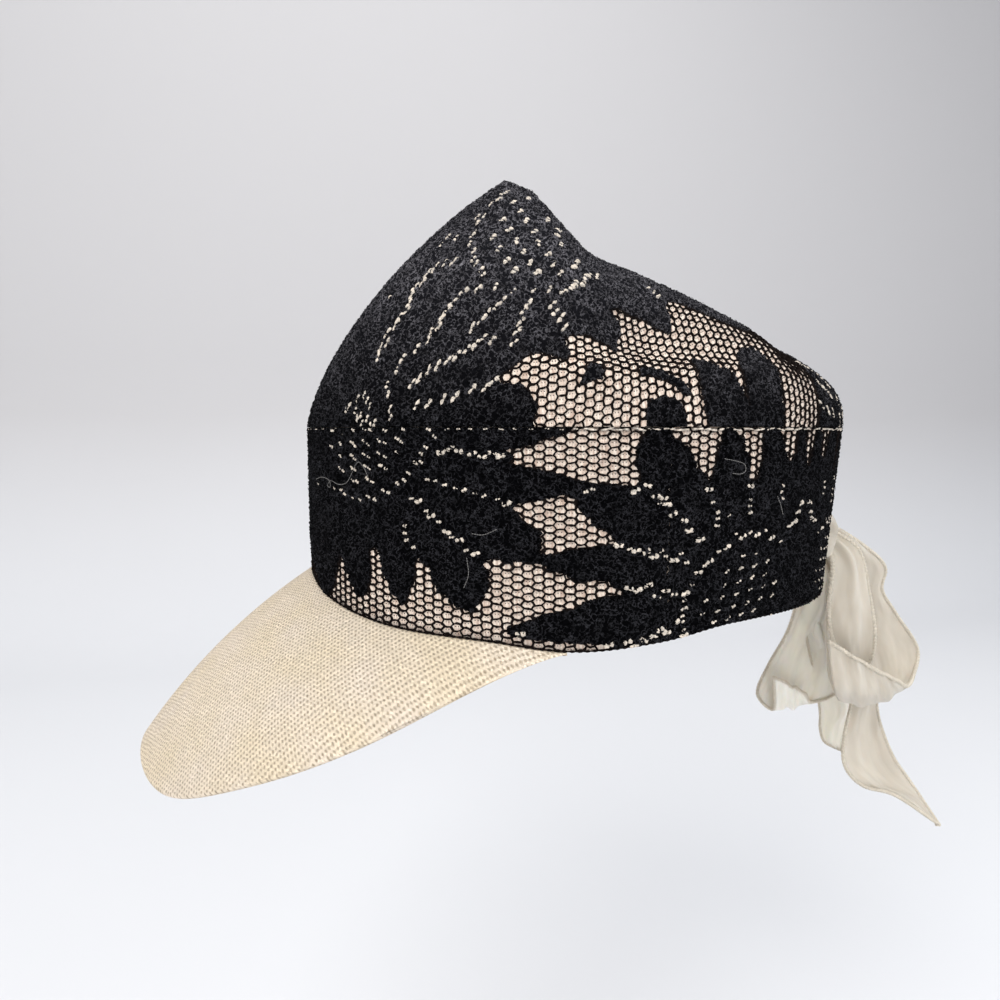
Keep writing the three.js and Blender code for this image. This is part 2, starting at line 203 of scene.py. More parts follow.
@dataclass(frozen=True)
class HatForm:
    """The smooth surfaces that the cloths of the hat lie on."""
    half_length: float = 101.0
    half_width: float = 85.0
    seam_height: float = 63.0
    back_taper: float = 6.0
    seam_gap: float = 0.3
    ridge_offset: float = 1.6
    crease_angle: float = 97.0
    crease_spread: float = 40.0
    crease_foot: float = 16.0
    crease_top: float = 23.0
    crease_fade: float = 46.0
    crease_depth: float = 5.0
    bulge_angle: float = 78.0
    bulge_spread: float = 26.0
    bulge_middle: float = 15.0
    bulge_depth: float = 2.0

    def oval(self, angle: Array, height: Array, inset: float) -> Array:
        """Head oval at a height. Below the seam its back draws in.

        Args:
            angle: Degrees round the oval from the middle of the front, towards the wearer's left.
            height: Height over the side rim.
            inset: How far in from the outside of the lace.

        Returns:
            The points.
        """
        turn = np.radians(angle)
        back = ((1 - np.cos(turn)) / 2) ** 2
        drop = np.maximum(0, 1 - height / self.seam_height)
        shrink = 1 - self.back_taper / self.half_length * drop * back
        return np.stack([
            (self.half_width * shrink - inset) * np.sin(turn),
            -(self.half_length * shrink - inset) * np.cos(turn),
            np.broadcast_to(height, np.shape(turn)).astype(float),
        ], axis=-1)

    @staticmethod
    def side_angle(angle: Array) -> Array:
        """Degrees from the middle of the front, 0 to 180 on either side."""
        turned = np.mod(angle, 360.0)
        return np.where(turned > 180, 360 - turned, turned)

    def rim_height(self, angle: Array) -> Array:
        """Height of the band's lower edge."""
        return read_smooth(column(RIM, "angle"), column(RIM, "height"), self.side_angle(angle), True)

    def crown(self, angle: Array, level: Array, inset: float) -> Array:
        """Crown surface, with its soft crease on the wearer's left.

        Args:
            angle: Degrees round the oval from the middle of the front.
            level: 0 at the seam and 1 on the ridge.
            inset: How far in from the outside of the lace.

        Returns:
            The points.
        """
        foot = self.oval(angle, self.seam_height, inset)
        side = self.side_angle(angle)
        ridge_y = np.clip(foot[..., 1], RIDGE[0].y, RIDGE[-1].y)
        rise_to = read_straight(RIDGE, "y", "height", ridge_y) - self.ridge_offset * inset
        run = read_straight(SIDES, "angle", "run", side)
        rise = read_straight(SIDES, "angle", "rise", side)
        inwards = 2 * level * (1 - level) * run + level**2
        upwards = (2 * level * (1 - level) * rise + level**2) * rise_to
        crease = (self.crease_depth * soft_window(angle, self.crease_angle, self.crease_spread)
                  * smooth_step(upwards, self.crease_foot, self.crease_top)
                  * (1 - smooth_step(upwards, self.crease_top, self.crease_fade)))
        bulge = (self.bulge_depth * soft_window(angle, self.bulge_angle, self.bulge_spread)
                 * soft_window(upwards, self.bulge_middle, self.bulge_middle))
        outwards = unit(foot * [1, 1, 0]) * ((bulge - crease) * (1 - level**2))[..., None]
        middle = np.stack([
            foot[..., 0] * (1 - inwards),
            foot[..., 1] + (ridge_y - foot[..., 1]) * inwards,
            self.seam_height + self.seam_gap + upwards,
        ], axis=-1)
        return middle + outwards


@dataclass
class Grid:
    """A mesh under way: points in millimetres and the faces between them."""
    points: Array
    faces: Array

    def turned(self) -> "Grid":
        """The same mesh with its faces turned the other way."""
        return Grid(self.points, self.faces[:, ::-1])

    def in_threes(self) -> "Grid":
        """The same mesh with each quad cut into two triangles."""
        return Grid(self.points, np.concatenate([self.faces[:, [0, 1, 2]], self.faces[:, [0, 2, 3]]]))

    def with_more(self, other: "Grid") -> "Grid":
        """Both meshes in one, not joined to each other."""
        return Grid(np.vstack([self.points, other.points]),
                    np.vstack([self.faces, other.faces + len(self.points)]))


def make_piece(name: str, grid: Grid) -> Piece:
    """A smooth object in the scene, at the origin.

    Args:
        name: The piece's name.
        grid: Its mesh, in millimetres.

    Returns:
        The object, in metres.
    """
    mesh = bpy.data.meshes.new(name)
    mesh.from_pydata((grid.points * MM).tolist(), [], grid.faces.tolist())
    mesh.validate()
    mesh.shade_smooth()
    made = bpy.data.objects.new(name, mesh)
    bpy.context.collection.objects.link(made)
    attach(made, BODY)
    return made


def lay_map(piece: Piece, flat: Array) -> None:
    """Gives a piece its UV map.

    Args:
        piece: The piece.
        flat: The flat place of each of its points, in millimetres.
    """
    mesh = piece.data
    layer = mesh.uv_layers.new(name="flat")
    corner = np.zeros(len(mesh.loops), np.int32)
    mesh.loops.foreach_get("vertex_index", corner)
    layer.data.foreach_set("uv", flat[corner].astype(np.float32).ravel())


def mark_points(piece: Piece, name: str, values: Array) -> None:
    """Writes one number for each point of the piece, for its material to read."""
    attribute = piece.data.attributes.new(name, "FLOAT", "POINT")
    attribute.data.foreach_set("value", values.astype(np.float32))


def grid_faces(rows: int, across: int, closed_across: bool = False) -> Array:
    """Quads over rows of points, each row after the last.

    Args:
        rows: How many rows of points there are.
        across: How many points a row holds.
        closed_across: Whether each row's last point meets its first.

    Returns:
        The quads, which face along the cross product of the ways down and across the rows.
    """
    i, j = np.meshgrid(np.arange(rows - 1), np.arange(across if closed_across else across - 1), indexing="ij")
    here, there = i * across + j, i * across + (j + 1) % across
    return np.stack([here, here + across, there + across, there], axis=-1).reshape(-1, 4)


def ring_faces(rings: int, sides: int, closed: bool) -> Array:
    """Triangles between rings of points, each ring inside the last.

    Args:
        rings: How many rings there are.
        sides: How many points a ring holds.
        closed: Whether one more point in the middle closes the last ring.

    Returns:
        An array of triangles.
    """
    around = np.arange(sides)
    onwards = (around + 1) % sides
    faces = []
    for outer in range(0, sides * (rings - 1), sides):
        inner = outer + sides
        faces.append(np.stack([outer + around, outer + onwards, inner + onwards], -1))
        faces.append(np.stack([outer + around, inner + onwards, inner + around], -1))
    if closed:
        last = sides * (rings - 1)
        faces.append(np.stack([last + around, last + onwards, np.full(sides, last + sides)], -1))
    return np.concatenate(faces)


def repeated(faces: Array, count: int, size: int) -> Array:
    """The faces of one small mesh, repeated for a row of such meshes.

    Args:
        faces: The faces of the first mesh.
        count: How many meshes there are.
        size: How many points each has.

    Returns:
        All the faces.
    """
    return (faces[None] + (np.arange(count) * size)[:, None, None]).reshape(-1, faces.shape[1])


def whole_triangles(corners: Array) -> Array:
    """Which triangles have three different corners."""
    first, second, third = corners.T
    return (first != second) & (second != third) & (third != first)


def grid_normals(rows: Array) -> Array:
    """The way out of a grid of points: down its rows crossed with across them."""
    return unit(np.cross(np.gradient(rows, axis=0), np.gradient(rows, axis=1)))


@dataclass
class BandSurface:
    """The band's cloth laid flat: arc round the seam from the middle of the front, and height."""
    form: HatForm
    steps: int = 3600
    probe: float = 0.2

    def __post_init__(self) -> None:
        """Measures the seam from the middle of the front to the middle of the back."""
        self.angles = np.linspace(0, 180, self.steps + 1)
        self.arcs = arc_lengths(self.form.oval(self.angles, self.form.seam_height, 0.0))
        self.half = float(self.arcs[-1])

    def angle_at(self, arc: Array) -> Array:
        """Degrees round the oval at an arc, below nothing on the wearer's right."""
        return np.sign(arc) * np.interp(np.abs(arc), self.arcs, self.angles)

    def inside(self, flat: Array) -> Array:
        """Whether flat places are on the cloth."""
        rim = self.form.rim_height(self.angle_at(flat[:, 0]))
        top = self.form.seam_height + self.form.seam_gap
        return (flat[:, 1] >= rim) & (flat[:, 1] <= top) & (np.abs(flat[:, 0]) <= self.half)

    def place(self, flat: Array, inset: float) -> tuple[Array, Array, Array]:
        """Where flat places lie on the hat.

        Args:
            flat: The flat places. Those off the cloth are brought to its edge.
            inset: How far in from the outside of the lace.

        Returns:
            The points, the ways out, and which of them were brought to a free edge.
        """
        angle = self.angle_at(flat[:, 0])
        rim = self.form.rim_height(angle)
        height = np.clip(flat[:, 1], rim, self.form.seam_height + self.form.seam_gap)
        points = self.form.oval(angle, height, inset)
        round_way = self.form.oval(angle + self.probe, height, inset) - points
        up_way = self.form.oval(angle, height + self.probe, inset) - points
        return points, unit(np.cross(round_way, up_way)), flat[:, 1] <= rim


@dataclass
class CrownSurface:
    """The wearer's left half of the crown's cloth, unfolded flat with its cells kept as square as they go.

    The flat origin is the seam at the wearer's left side, and the seam there runs level.
    """
    form: HatForm
    turns: int = 61
    levels: int = 25
    rounds: int = 80
    level_from: int = 20
    level_to: int = 40
    start_stretch: float = 1.2
    anchor: float = 1.001
    least_pull: float = 0.02
    most_pull: float = 20.0
    turn_probe: float = 0.4
    level_probe: float = 0.01
    least_way: float = 0.001
    ridge_level: float = 0.999
    on_right: bool = False

    def __post_init__(self) -> None:
        """Lays the half crown flat and keeps the flat place of each corner of its grid."""
        angle, level = np.meshgrid(np.linspace(0, 180, self.turns), np.linspace(0, 1, self.levels),
                                   indexing="ij")
        points = self.form.crown(angle, level, 0.0)
        points[[0, -1], :, 0] = 0.0
        self.params = np.stack([angle.ravel(), level.ravel()], axis=-1)
        index = np.arange(angle.size).reshape(angle.shape)
        quads = np.stack([index[:-1, :-1], index[1:, :-1], index[1:, 1:], index[:-1, 1:]], -1).reshape(-1, 4)
        corners = np.concatenate([quads[:, [0, 1, 2]], quads[:, [0, 2, 3]]])
        places, shared = np.unique(np.round(points.reshape(-1, 3), 4), axis=0, return_inverse=True)
        shared = shared.ravel()
        joined = shared[corners]
        whole = whole_triangles(joined)
        self.corners = corners[whole]
        flat = self.unfold(places, joined[whole])[shared]
        self.flat = self.levelled(flat, index)
        self.loop = np.concatenate([index[:, 0], index[-1, 1:], index[::-1, -1][1:], index[0, ::-1][1:]])

    def unfold(self, places: Array, triangles: Array) -> Array:
        """Lays triangles flat, each turned but as little strained as can be, in repeated rounds.

        Args:
            places: The corners in space.
            triangles: Three indices of corners each.

        Returns:
            A flat place for each corner.
        """
        shape = self.flat_triangles(places, triangles)
        pull = self.edge_pulls(shape)
        count = len(places)
        weights = np.zeros((count, count))
        for k in range(3):
            i, j = triangles[:, (k + 1) % 3], triangles[:, (k + 2) % 3]
            for a, b, sign in ((i, i, 1), (j, j, 1), (i, j, -1), (j, i, -1)):
                np.add.at(weights, (a, b), sign * pull[:, k])
        weights[0, 0] *= self.anchor
        solve = np.linalg.inv(weights + TINY * np.eye(count))
        flat = np.stack([places[:, 1] * self.start_stretch, places[:, 2]], axis=-1)
        for _ in range(self.rounds):
            flat = solve @ self.turned_edges(flat, triangles, shape, pull)
            flat -= flat.mean(axis=0)
        return flat

    @staticmethod
    def flat_triangles(places: Array, triangles: Array) -> Array:
        """Each triangle drawn flat by itself at its true size.

        Args:
            places: The corners in space.
            triangles: Three indices of corners each.

        Returns:
            Three flat corners for each triangle.
        """
        first = places[triangles[:, 1]] - places[triangles[:, 0]]
        second = places[triangles[:, 2]] - places[triangles[:, 0]]
        length = np.linalg.norm(first, axis=1)
        along = (second * first).sum(1) / length
        shape = np.zeros((len(triangles), 3, 2))
        shape[:, 1, 0] = length
        shape[:, 2, 0] = along
        shape[:, 2, 1] = np.linalg.norm(second - along[:, None] * first / length[:, None], axis=1)
        return shape

    def edge_pulls(self, shape: Array) -> Array:
        """How strongly the edges hold their length, from the angles across them.

        Args:
            shape: Each triangle drawn flat by itself.

        Returns:
            Three pulls for each triangle.
        """
        pull = np.zeros((len(shape), 3))
        for k in range(3):
            u, w = shape[:, (k + 1) % 3] - shape[:, k], shape[:, (k + 2) % 3] - shape[:, k]
            area = np.abs(u[:, 0] * w[:, 1] - u[:, 1] * w[:, 0])
            pull[:, k] = (u * w).sum(1) / np.maximum(area, TINY)
        return np.clip(pull, self.least_pull, self.most_pull)

    @staticmethod
    def turned_edges(flat: Array, triangles: Array, shape: Array, pull: Array) -> Array:
        """The sum of each corner's edges, each triangle turned to fit where it lies now.

        Args:
            flat: Where the corners lie now.
            triangles: Three indices of corners each.
            shape: Each triangle drawn flat by itself.
            pull: How strongly its three edges hold.

        Returns:
            A sum for each corner.
        """
        spin = np.zeros((len(triangles), 2, 2))
        for k in range(3):
            i, j = (k + 1) % 3, (k + 2) % 3
            spin += pull[:, k, None, None] * np.einsum(
                "ti,tj->tij", flat[triangles[:, i]] - flat[triangles[:, j]], shape[:, i] - shape[:, j])
        cosine, sine = spin[:, 0, 0] + spin[:, 1, 1], spin[:, 1, 0] - spin[:, 0, 1]
        size = np.hypot(cosine, sine) + TINIEST
        cosine, sine = cosine / size, sine / size
        turn = np.stack([np.stack([cosine, -sine], -1), np.stack([sine, cosine], -1)], axis=-2)
        total = np.zeros_like(flat)
        for k in range(3):
            i, j = (k + 1) % 3, (k + 2) % 3
            edge = pull[:, k, None] * np.einsum("tij,tj->ti", turn, shape[:, i] - shape[:, j])
            np.add.at(total, triangles[:, i], edge)
            np.add.at(total, triangles[:, j], -edge)
        return total

    def other_side(self) -> "CrownSurface":
        """The same flat cloth laid on the wearer's right, where the crown has no crease."""
        other = copy.copy(self)
        other.on_right = True
        return other

    def levelled(self, flat: Array, index: Array) -> Array:
        """Puts the origin on the seam at the side and turns the seam there level.

        Args:
            flat: The flat place of each corner of the grid.
            index: The corners' indices by turn and level.

        Returns:
            The flat places, moved and turned.
        """
        origin = flat[index[self.turns // 2, 0]]
        along = flat[index[self.level_to, 0]] - flat[index[self.level_from, 0]]
        along = along / np.hypot(*along)
        return (flat - origin) @ np.array([[along[0], along[1]], [-along[1], along[0]]]).T

    def locate(self, flat: Array) -> Array:
        """Finds flat places on the cloth.

        Args:
            flat: The places.

        Returns:
            The angle and level of each, and not a number for those off the cloth.
        """
        found = np.full((len(flat), 2), np.nan)
        order = np.argsort(flat[:, 0])
        ranked = flat[order]
        for corner in self.corners:
            a, b, c = self.flat[corner]
            start = np.searchsorted(ranked[:, 0], min(a[0], b[0], c[0]) - SLACK)
            stop = np.searchsorted(ranked[:, 0], max(a[0], b[0], c[0]) + SLACK)
            size = (b[0] - a[0]) * (c[1] - a[1]) - (b[1] - a[1]) * (c[0] - a[0])
            if stop <= start or abs(size) < TINIEST:
                continue
            near = ranked[start:stop] - a
            one = (near[:, 0] * (c[1] - a[1]) - near[:, 1] * (c[0] - a[0])) / size
            two = ((b[0] - a[0]) * near[:, 1] - (b[1] - a[1]) * near[:, 0]) / size
            hit = (one >= -SLACK) & (two >= -SLACK) & (one + two <= 1 + SLACK)
            share = np.stack([1 - one - two, one, two], axis=-1)[hit]
            found[order[start:stop][hit]] = share @ self.params[corner]
        return found

    def nearest_edge(self, flat: Array) -> Array:
        """Finds the place on the cloth's outline that is nearest to each flat place.

        Args:
            flat: The flat places.

        Returns:
            The angle and level of each place on the outline.
        """
        ends = self.flat[self.loop]
        params = self.params[self.loop]
        best = np.full(len(flat), np.inf)
        found = np.zeros((len(flat), 2))
        for a, b, at_a, at_b in zip(ends[:-1], ends[1:], params[:-1], params[1:]):
            way = b - a
            share = np.clip(((flat - a) @ way) / max(way @ way, TINY), 0, 1)
            gap = np.linalg.norm(a + share[:, None] * way - flat, axis=1)
            closer = gap < best
            best[closer] = gap[closer]
            found[closer] = (at_a + share[:, None] * (at_b - at_a))[closer]
        return found

    def inside(self, flat: Array) -> Array:
        """Whether flat places are on the cloth."""
        return ~np.isnan(self.locate(flat)[:, 0])

    def place(self, flat: Array, inset: float) -> tuple[Array, Array, Array]:
        """Where flat places lie on the hat.

        Args:
            flat: The flat places. Those off the cloth are brought to its edge.
            inset: How far in from the outside of the lace.

        Returns:
            The points, the ways out, and which of them were brought to a free edge, here none.
        """
        params = self.locate(flat)
        outside = np.isnan(params[:, 0])
        params[outside] = self.nearest_edge(flat[outside])
        angle, level = params[:, 0], params[:, 1]
        if self.on_right:
            angle = 360 - angle
        points = self.form.crown(angle, level, inset)
        step = np.where(level > 0.5, -self.level_probe, self.level_probe)
        round_way = (self.form.crown(angle + self.turn_probe, level, inset)
                     - self.form.crown(angle - self.turn_probe, level, inset))
        up_way = (self.form.crown(angle, level + step, inset) - points) * np.sign(step)[:, None]
        flat_top = np.linalg.norm(round_way, axis=1) < self.least_way
        ways = unit(np.cross(round_way, up_way))
        ways[flat_top] = [0, 0, 1]
        middle = (outside & (level > SLACK)) | (level > self.ridge_level)
        points[middle, 0] = 0.0
        ways[middle, 0] = 0.0
        return points, unit(ways), np.zeros(len(flat), bool)


def inside_outline(flat: Array, outline: Sequence[Spot]) -> Array:
    """Whether flat places lie inside a closed outline.

    Args:
        flat: The places.
        outline: The corners of the outline in order.

    Returns:
        A yes or no for each place.
    """
    inside = np.zeros(len(flat), bool)
    for a, b in zip(outline, (*outline[1:], outline[0])):
        if a.up == b.up:
            continue
        crosses = (a.up > flat[:, 1]) != (b.up > flat[:, 1])
        edge = (b.across - a.across) * (flat[:, 1] - a.up) / (b.up - a.up) + a.across
        inside ^= crosses & (flat[:, 0] < edge)
    return inside


def spots(*pairs: tuple[float, float]) -> tuple[Spot, ...]:
    """Places on a flat chart from pairs of millimetres across and up."""
    return tuple(Spot(*pair) for pair in pairs)


class Cell(IntEnum):
    """How a cell of the lace is worked."""
    OPEN = 0
    EDGE = 1
    FILLED = 2


class Layer(IntEnum):
    """Where a point of a cell stands: on the cloth, on the crest of a thread, or on its shoulder."""
    FOOT = 0
    CREST = 1
    SHOULDER = 2


class Wave(NamedTuple):
    """A wave over a flat cloth: how fast it runs across and up, and its size."""
    across: float
    up: float
    size: float


# How the threads pull each other out of true, across and up
PULLS = (
    (Wave(2.1, 1.3, 1.0), Wave(0.9, -3.1, 0.8)),
    (Wave(1.7, -1.9, 1.0), Wave(2.9, 0.7, 0.8)),
)


class Flecks(NamedTuple):
    """Bits of pale thread of one size: half their length and width, their lean in degrees, their places."""
    half_long: float
    half_wide: float
    lean: float
    places: tuple[Spot, ...]


@dataclass(frozen=True)
class LaceChart:
    """What the lace shows on a flat cloth: net inside the outlines, petals elsewhere, pale flecks on them."""
    nets: tuple[tuple[Spot, ...], ...]
    islands: tuple[tuple[Spot, ...], ...]
    flecks: tuple[Flecks, ...]
    fold_at: float

    def charted(self, flat: Array) -> Array:
        """Where flat places fall on the chart, which repeats turned over past its fold."""
        across = np.abs(flat[:, 0])
        return np.stack([np.where(across > self.fold_at, 2 * self.fold_at - across, across), flat[:, 1]], -1)

    def images(self, place: Spot) -> list[Spot]:
        """All flat places that a place of the chart stands for."""
        found = [place, place._replace(across=2 * self.fold_at - place.across)]
        return found + [spot._replace(across=-spot.across) for spot in found]

    def is_net(self, flat: Array) -> Array:
        """Whether flat places lie in open net.

        Args:
            flat: The places.

        Returns:
            A yes or no for each place.
        """
        charted = self.charted(flat)
        found = np.any([inside_outline(charted, outline) for outline in self.nets], axis=0)
        for outline in self.islands:
            found &= ~inside_outline(charted, outline)
        return found


class CrownChart(LaceChart):
    """The crown's chart, drawn from the side seam both ways and turned over behind."""

    def charted(self, flat: Array) -> Array:
        """Where flat places fall on the chart, turned over behind."""
        return np.stack([np.where(flat[:, 0] > self.fold_at, -flat[:, 0], flat[:, 0]), flat[:, 1]], -1)

    def images(self, place: Spot) -> list[Spot]:
        """The place itself, and the one behind that it stands for."""
        return [place, place._replace(across=-place.across)] if place.across < -self.fold_at else [place]


BAND_NETS = (
    spots((-1, -5), (-1, 24), (5, 22), (10, 18.5), (15, 15), (20, 11.5), (24.5, 8), (27, 6), (28, -5)),
    spots((30, -5), (30, 5), (30.5, 8.5), (33, 10.5), (34.8, 12.5), (35.3, 15), (37.5, 19), (38.5, 22.5),
          (40.5, 21), (42, 18), (44, 14.5), (46.3, 12), (48, 10), (50, 10.3), (52, 11.5), (53, 13.5),
          (54.5, 18), (54.3, 22.5), (53.7, 25.2), (56, 26.8), (58, 25.5), (59.5, 19), (62, 15.5), (62.5, 13),
          (65.5, 11.7), (66.5, 9.5), (67.7, 10.5), (69, 12.5), (70, 15), (71.7, 19), (71.7, 22), (72.5, 24.7),
          (74, 23.5), (76.3, 22.5), (77.5, 19), (79.3, 15), (82, 14.3), (83, 12), (85.5, 11), (90, 9.8),
          (92, 10), (91, 11.5), (93, 13), (94, 15), (95.5, 18), (95, 22), (93, 24.5), (95, 25.3), (98, 26.3),
          (101, 24.3), (104, 25.3), (109, 24.7), (111.5, 24.7), (112, 22.5), (117, 22), (119, 20.7),
          (120, 19.2), (124, 19.7), (130, 19.7), (131, 18), (134, 17), (134, 15.5), (130, 15.3), (124, 14),
          (120, 11.5), (115, 11), (110, 9.5), (105, 7.3), (101, 6.2), (100.5, 4), (104.5, 2.8), (111, 2.2),
          (120, 1.5), (130, 1), (130, -5)),
    spots((100, 57), (104, 57.5), (108, 58.5), (111, 60), (115, 61), (118.5, 62), (120.5, 65), (141, 65),
          (140, 61.5), (138, 58.5), (137.5, 56), (137, 53), (139, 50.5), (139, 48.5), (137, 46.5),
          (131, 47.5), (125, 47.8), (119, 49), (116, 50.3), (111, 51.2), (107.5, 52), (104, 52.7),
          (101, 53.3), (103, 55)),
    spots((102.5, 40.5), (104, 42), (108, 42.5), (114, 43.5), (116.5, 44.5), (120.5, 43), (120.5, 41),
          (123, 38.5), (124.5, 37.5), (125, 35.5), (127.5, 35), (130.5, 33), (132, 30.5), (128, 30),
          (120, 29), (117, 28.3), (114, 27.3), (110.5, 27.5), (110.5, 34), (107, 35.5), (105, 37.5)),
    spots((147, 65), (147, 63), (149.5, 60), (153, 58), (155, 55.5), (156.5, 51.5), (159, 50.5),
          (160.5, 47.5), (161.5, 49.5), (163, 55), (164.5, 60), (165, 65)),
    spots((168, 65), (168, 63), (171, 61), (173, 59.5), (174, 55.5), (176, 54), (175.5, 48), (177, 47.5),
          (179, 48.5), (180.5, 54), (180.5, 65)),
    spots((186, 65), (189, 61), (190, 58.5), (192.5, 54), (193.5, 52), (196.5, 55.5), (197, 60.5), (199, 65)),
    spots((201, 65), (202, 58), (204, 52), (206, 50), (206, 65)),
)
# Wheel of flecks at the front of the band, its rays in pairs
FRONT_WHEEL = spots(
    (23, 44.5), (36.5, 43.8), (40.5, 43.3), (42.5, 42.2), (47, 41.5), (50.5, 41), (54, 42.3), (57, 41.5),
    (60.5, 44.5), (62.5, 43.7), (66, 46.7), (68.5, 47.8), (70, 50), (72.5, 53), (74.5, 53.3), (74.5, 55.8),
    (76, 57.5), (79, 60.7), (35.5, 62.3), (42.9, 61), (47.5, 62.5), (53, 62.7), (55.5, 62.7), (61.5, 62.6),
    (68.5, 62.7), (77, 62.7), (33.8, 57.7), (35.2, 57.2), (40.5, 58.3), (46.7, 58.7), (48, 57.8),
    (52.5, 59.1), (54.5, 58.2), (59, 59.5), (61.5, 58.6), (66, 60), (67.8, 59), (59, 55.8), (61.5, 54.7),
    (66, 56), (52.5, 55.2), (54.7, 54.3), (46.5, 54.5), (48.2, 53.6), (40.3, 54.3), (59.5, 51.9),
    (61.8, 51), (53, 51.5), (54.8, 50.8), (46.5, 50.8), (48.3, 50.3), (40, 50.5), (42, 49.7),
    (53.7, 47.8), (56, 46.8), (47, 47), (49, 46.5))
# Rays of the wheel at the side of the band
SIDE_WHEEL = spots(
    (174.5, 25), (180.5, 25.5), (168.5, 20.7), (174, 21.3), (179.8, 21.7), (185.5, 22.3), (167.5, 16.5),
    (173.3, 17.3), (179, 18), (184.5, 18.5), (161, 12.5), (167, 13), (172.7, 13.6), (178.4, 14.2),
    (184.2, 14.8), (190, 15.2), (160, 8.5), (165.8, 9.1), (171.6, 9.7), (177.4, 10.3), (183.2, 10.9),
    (189, 11.3), (164.5, 5.7), (169.8, 6.3), (175.1, 7), (180.5, 7.7), (175, 3.7), (180.5, 4), (189, 4.7))
# Rim of that wheel, and the small flecks in the chains that outline the petals
BAND_DOTS = spots(
    (153.5, 4.5), (153, 8.5), (153.5, 13), (156, 17.5), (160, 23), (165, 27), (171, 31.7), (177, 32),
    (183.5, 32.2), (191.5, 28.2), (71, 42.3), (76, 38.8), (80, 36), (84, 31.5), (88.5, 28),
    (68.5, 34), (68.5, 32), (69, 30), (71.5, 28), (76.5, 48.3), (79, 47.8), (82, 46.8), (85.5, 46),
    (88, 45.5), (91.5, 44.8), (94, 43.8), (98, 43), (136, 29), (145.7, 28), (152, 27), (154, 24.3),
    (144.5, 42), (123, 45.3), (125, 46), (162, 41.5), (164, 38.5), (164, 36.8), (164, 34.8), (176, 42),
    (176, 40), (176.5, 38), (190.5, 45.5), (190, 43.5), (191, 41.5), (168, 37.5), (147, 26.5))
# Cells that stand nearly open in the chains
BAND_GAPS = spots(
    (154, 2.5), (152.5, 7), (153.5, 10.8), (154, 15), (158, 21), (162, 24), (168, 28), (174, 30.8),
    (180, 31), (187, 29.5), (73.5, 41.8), (77.5, 37.5), (82.5, 33), (86.5, 31), (91.5, 27),
    (81, 56), (84, 57.4), (86.5, 56.5), (90.5, 56), (93.5, 55), (96.5, 56.3), (99, 55.2), (100.5, 42),
    (137.5, 45.5), (141, 47), (143.5, 44), (146, 43.5),
    (147, 41.5), (149, 38.5), (152.5, 36.5), (154.5, 33.3), (158.5, 30.8), (133, 29.7), (138, 28.2),
    (141, 27.8), (143.5, 26.6), (150, 25.2), (136, 17.5), (139, 16.7), (142, 18), (144.5, 14.7),
    (147.5, 16.3), (150, 15.3), (130.5, 0.9), (136, 1.5), (138, 0.5), (141, 2.2), (143.8, 3.2),
    (146, 4.7), (148.2, 4), (160.5, 45.5), (176, 46), (196.5, 33), (199, 33.8), (200.5, 36.5),
    (202, 39.5), (104.5, 4.2))
# Pale stitches along the seam, mere dots on the black at the front
SEAM_DOTS = spots(
    (2, 62.9), (9, 62.8), (15, 62.9), (22, 62.7), (29, 62.9), (38, 62.8), (83, 62.8), (86.5, 62.9),
    (90, 62.8), (94.5, 62.9), (99, 62.7), (103, 62.9), (107.5, 62.8), (112, 62.9), (116, 62.8), (120, 62.9))
SEAM_STITCHES = spots((124, 62.8), *((129 + 4.5 * k, (62.9, 62.7, 62.9, 62.8)[k % 4]) for k in range(17)))
BAND_FLECKS = (
    Flecks(0.8, 0.6, -25, FRONT_WHEEL), Flecks(1.0, 0.5, 28, SIDE_WHEEL), Flecks(0.8, 0.6, 10, BAND_DOTS),
    Flecks(1.5, 0.95, 8, BAND_GAPS), Flecks(0.7, 0.3, 0, SEAM_DOTS), Flecks(1.8, 0.36, 0, SEAM_STITCHES),
)
LOOSE_THREADS = (
    spots((22, 46), (28, 47), (33, 46.5), (34.5, 45.2), (34, 44), (32.5, 44.6), (35, 46.2), (40, 45.3),
          (45, 46.5), (50, 52.5), (53, 51), (55, 48)),
    spots((165, 54.3), (169.5, 53.5), (172.5, 52.5), (173, 50.5), (171, 49.7), (168, 50)),
    spots((187.5, 42.5), (189.5, 39.5), (191, 36.5)),
    spots((90.5, 33), (94, 32.8), (98, 34.5)),
    spots((89, 26), (89.5, 21), (88, 17)),
)

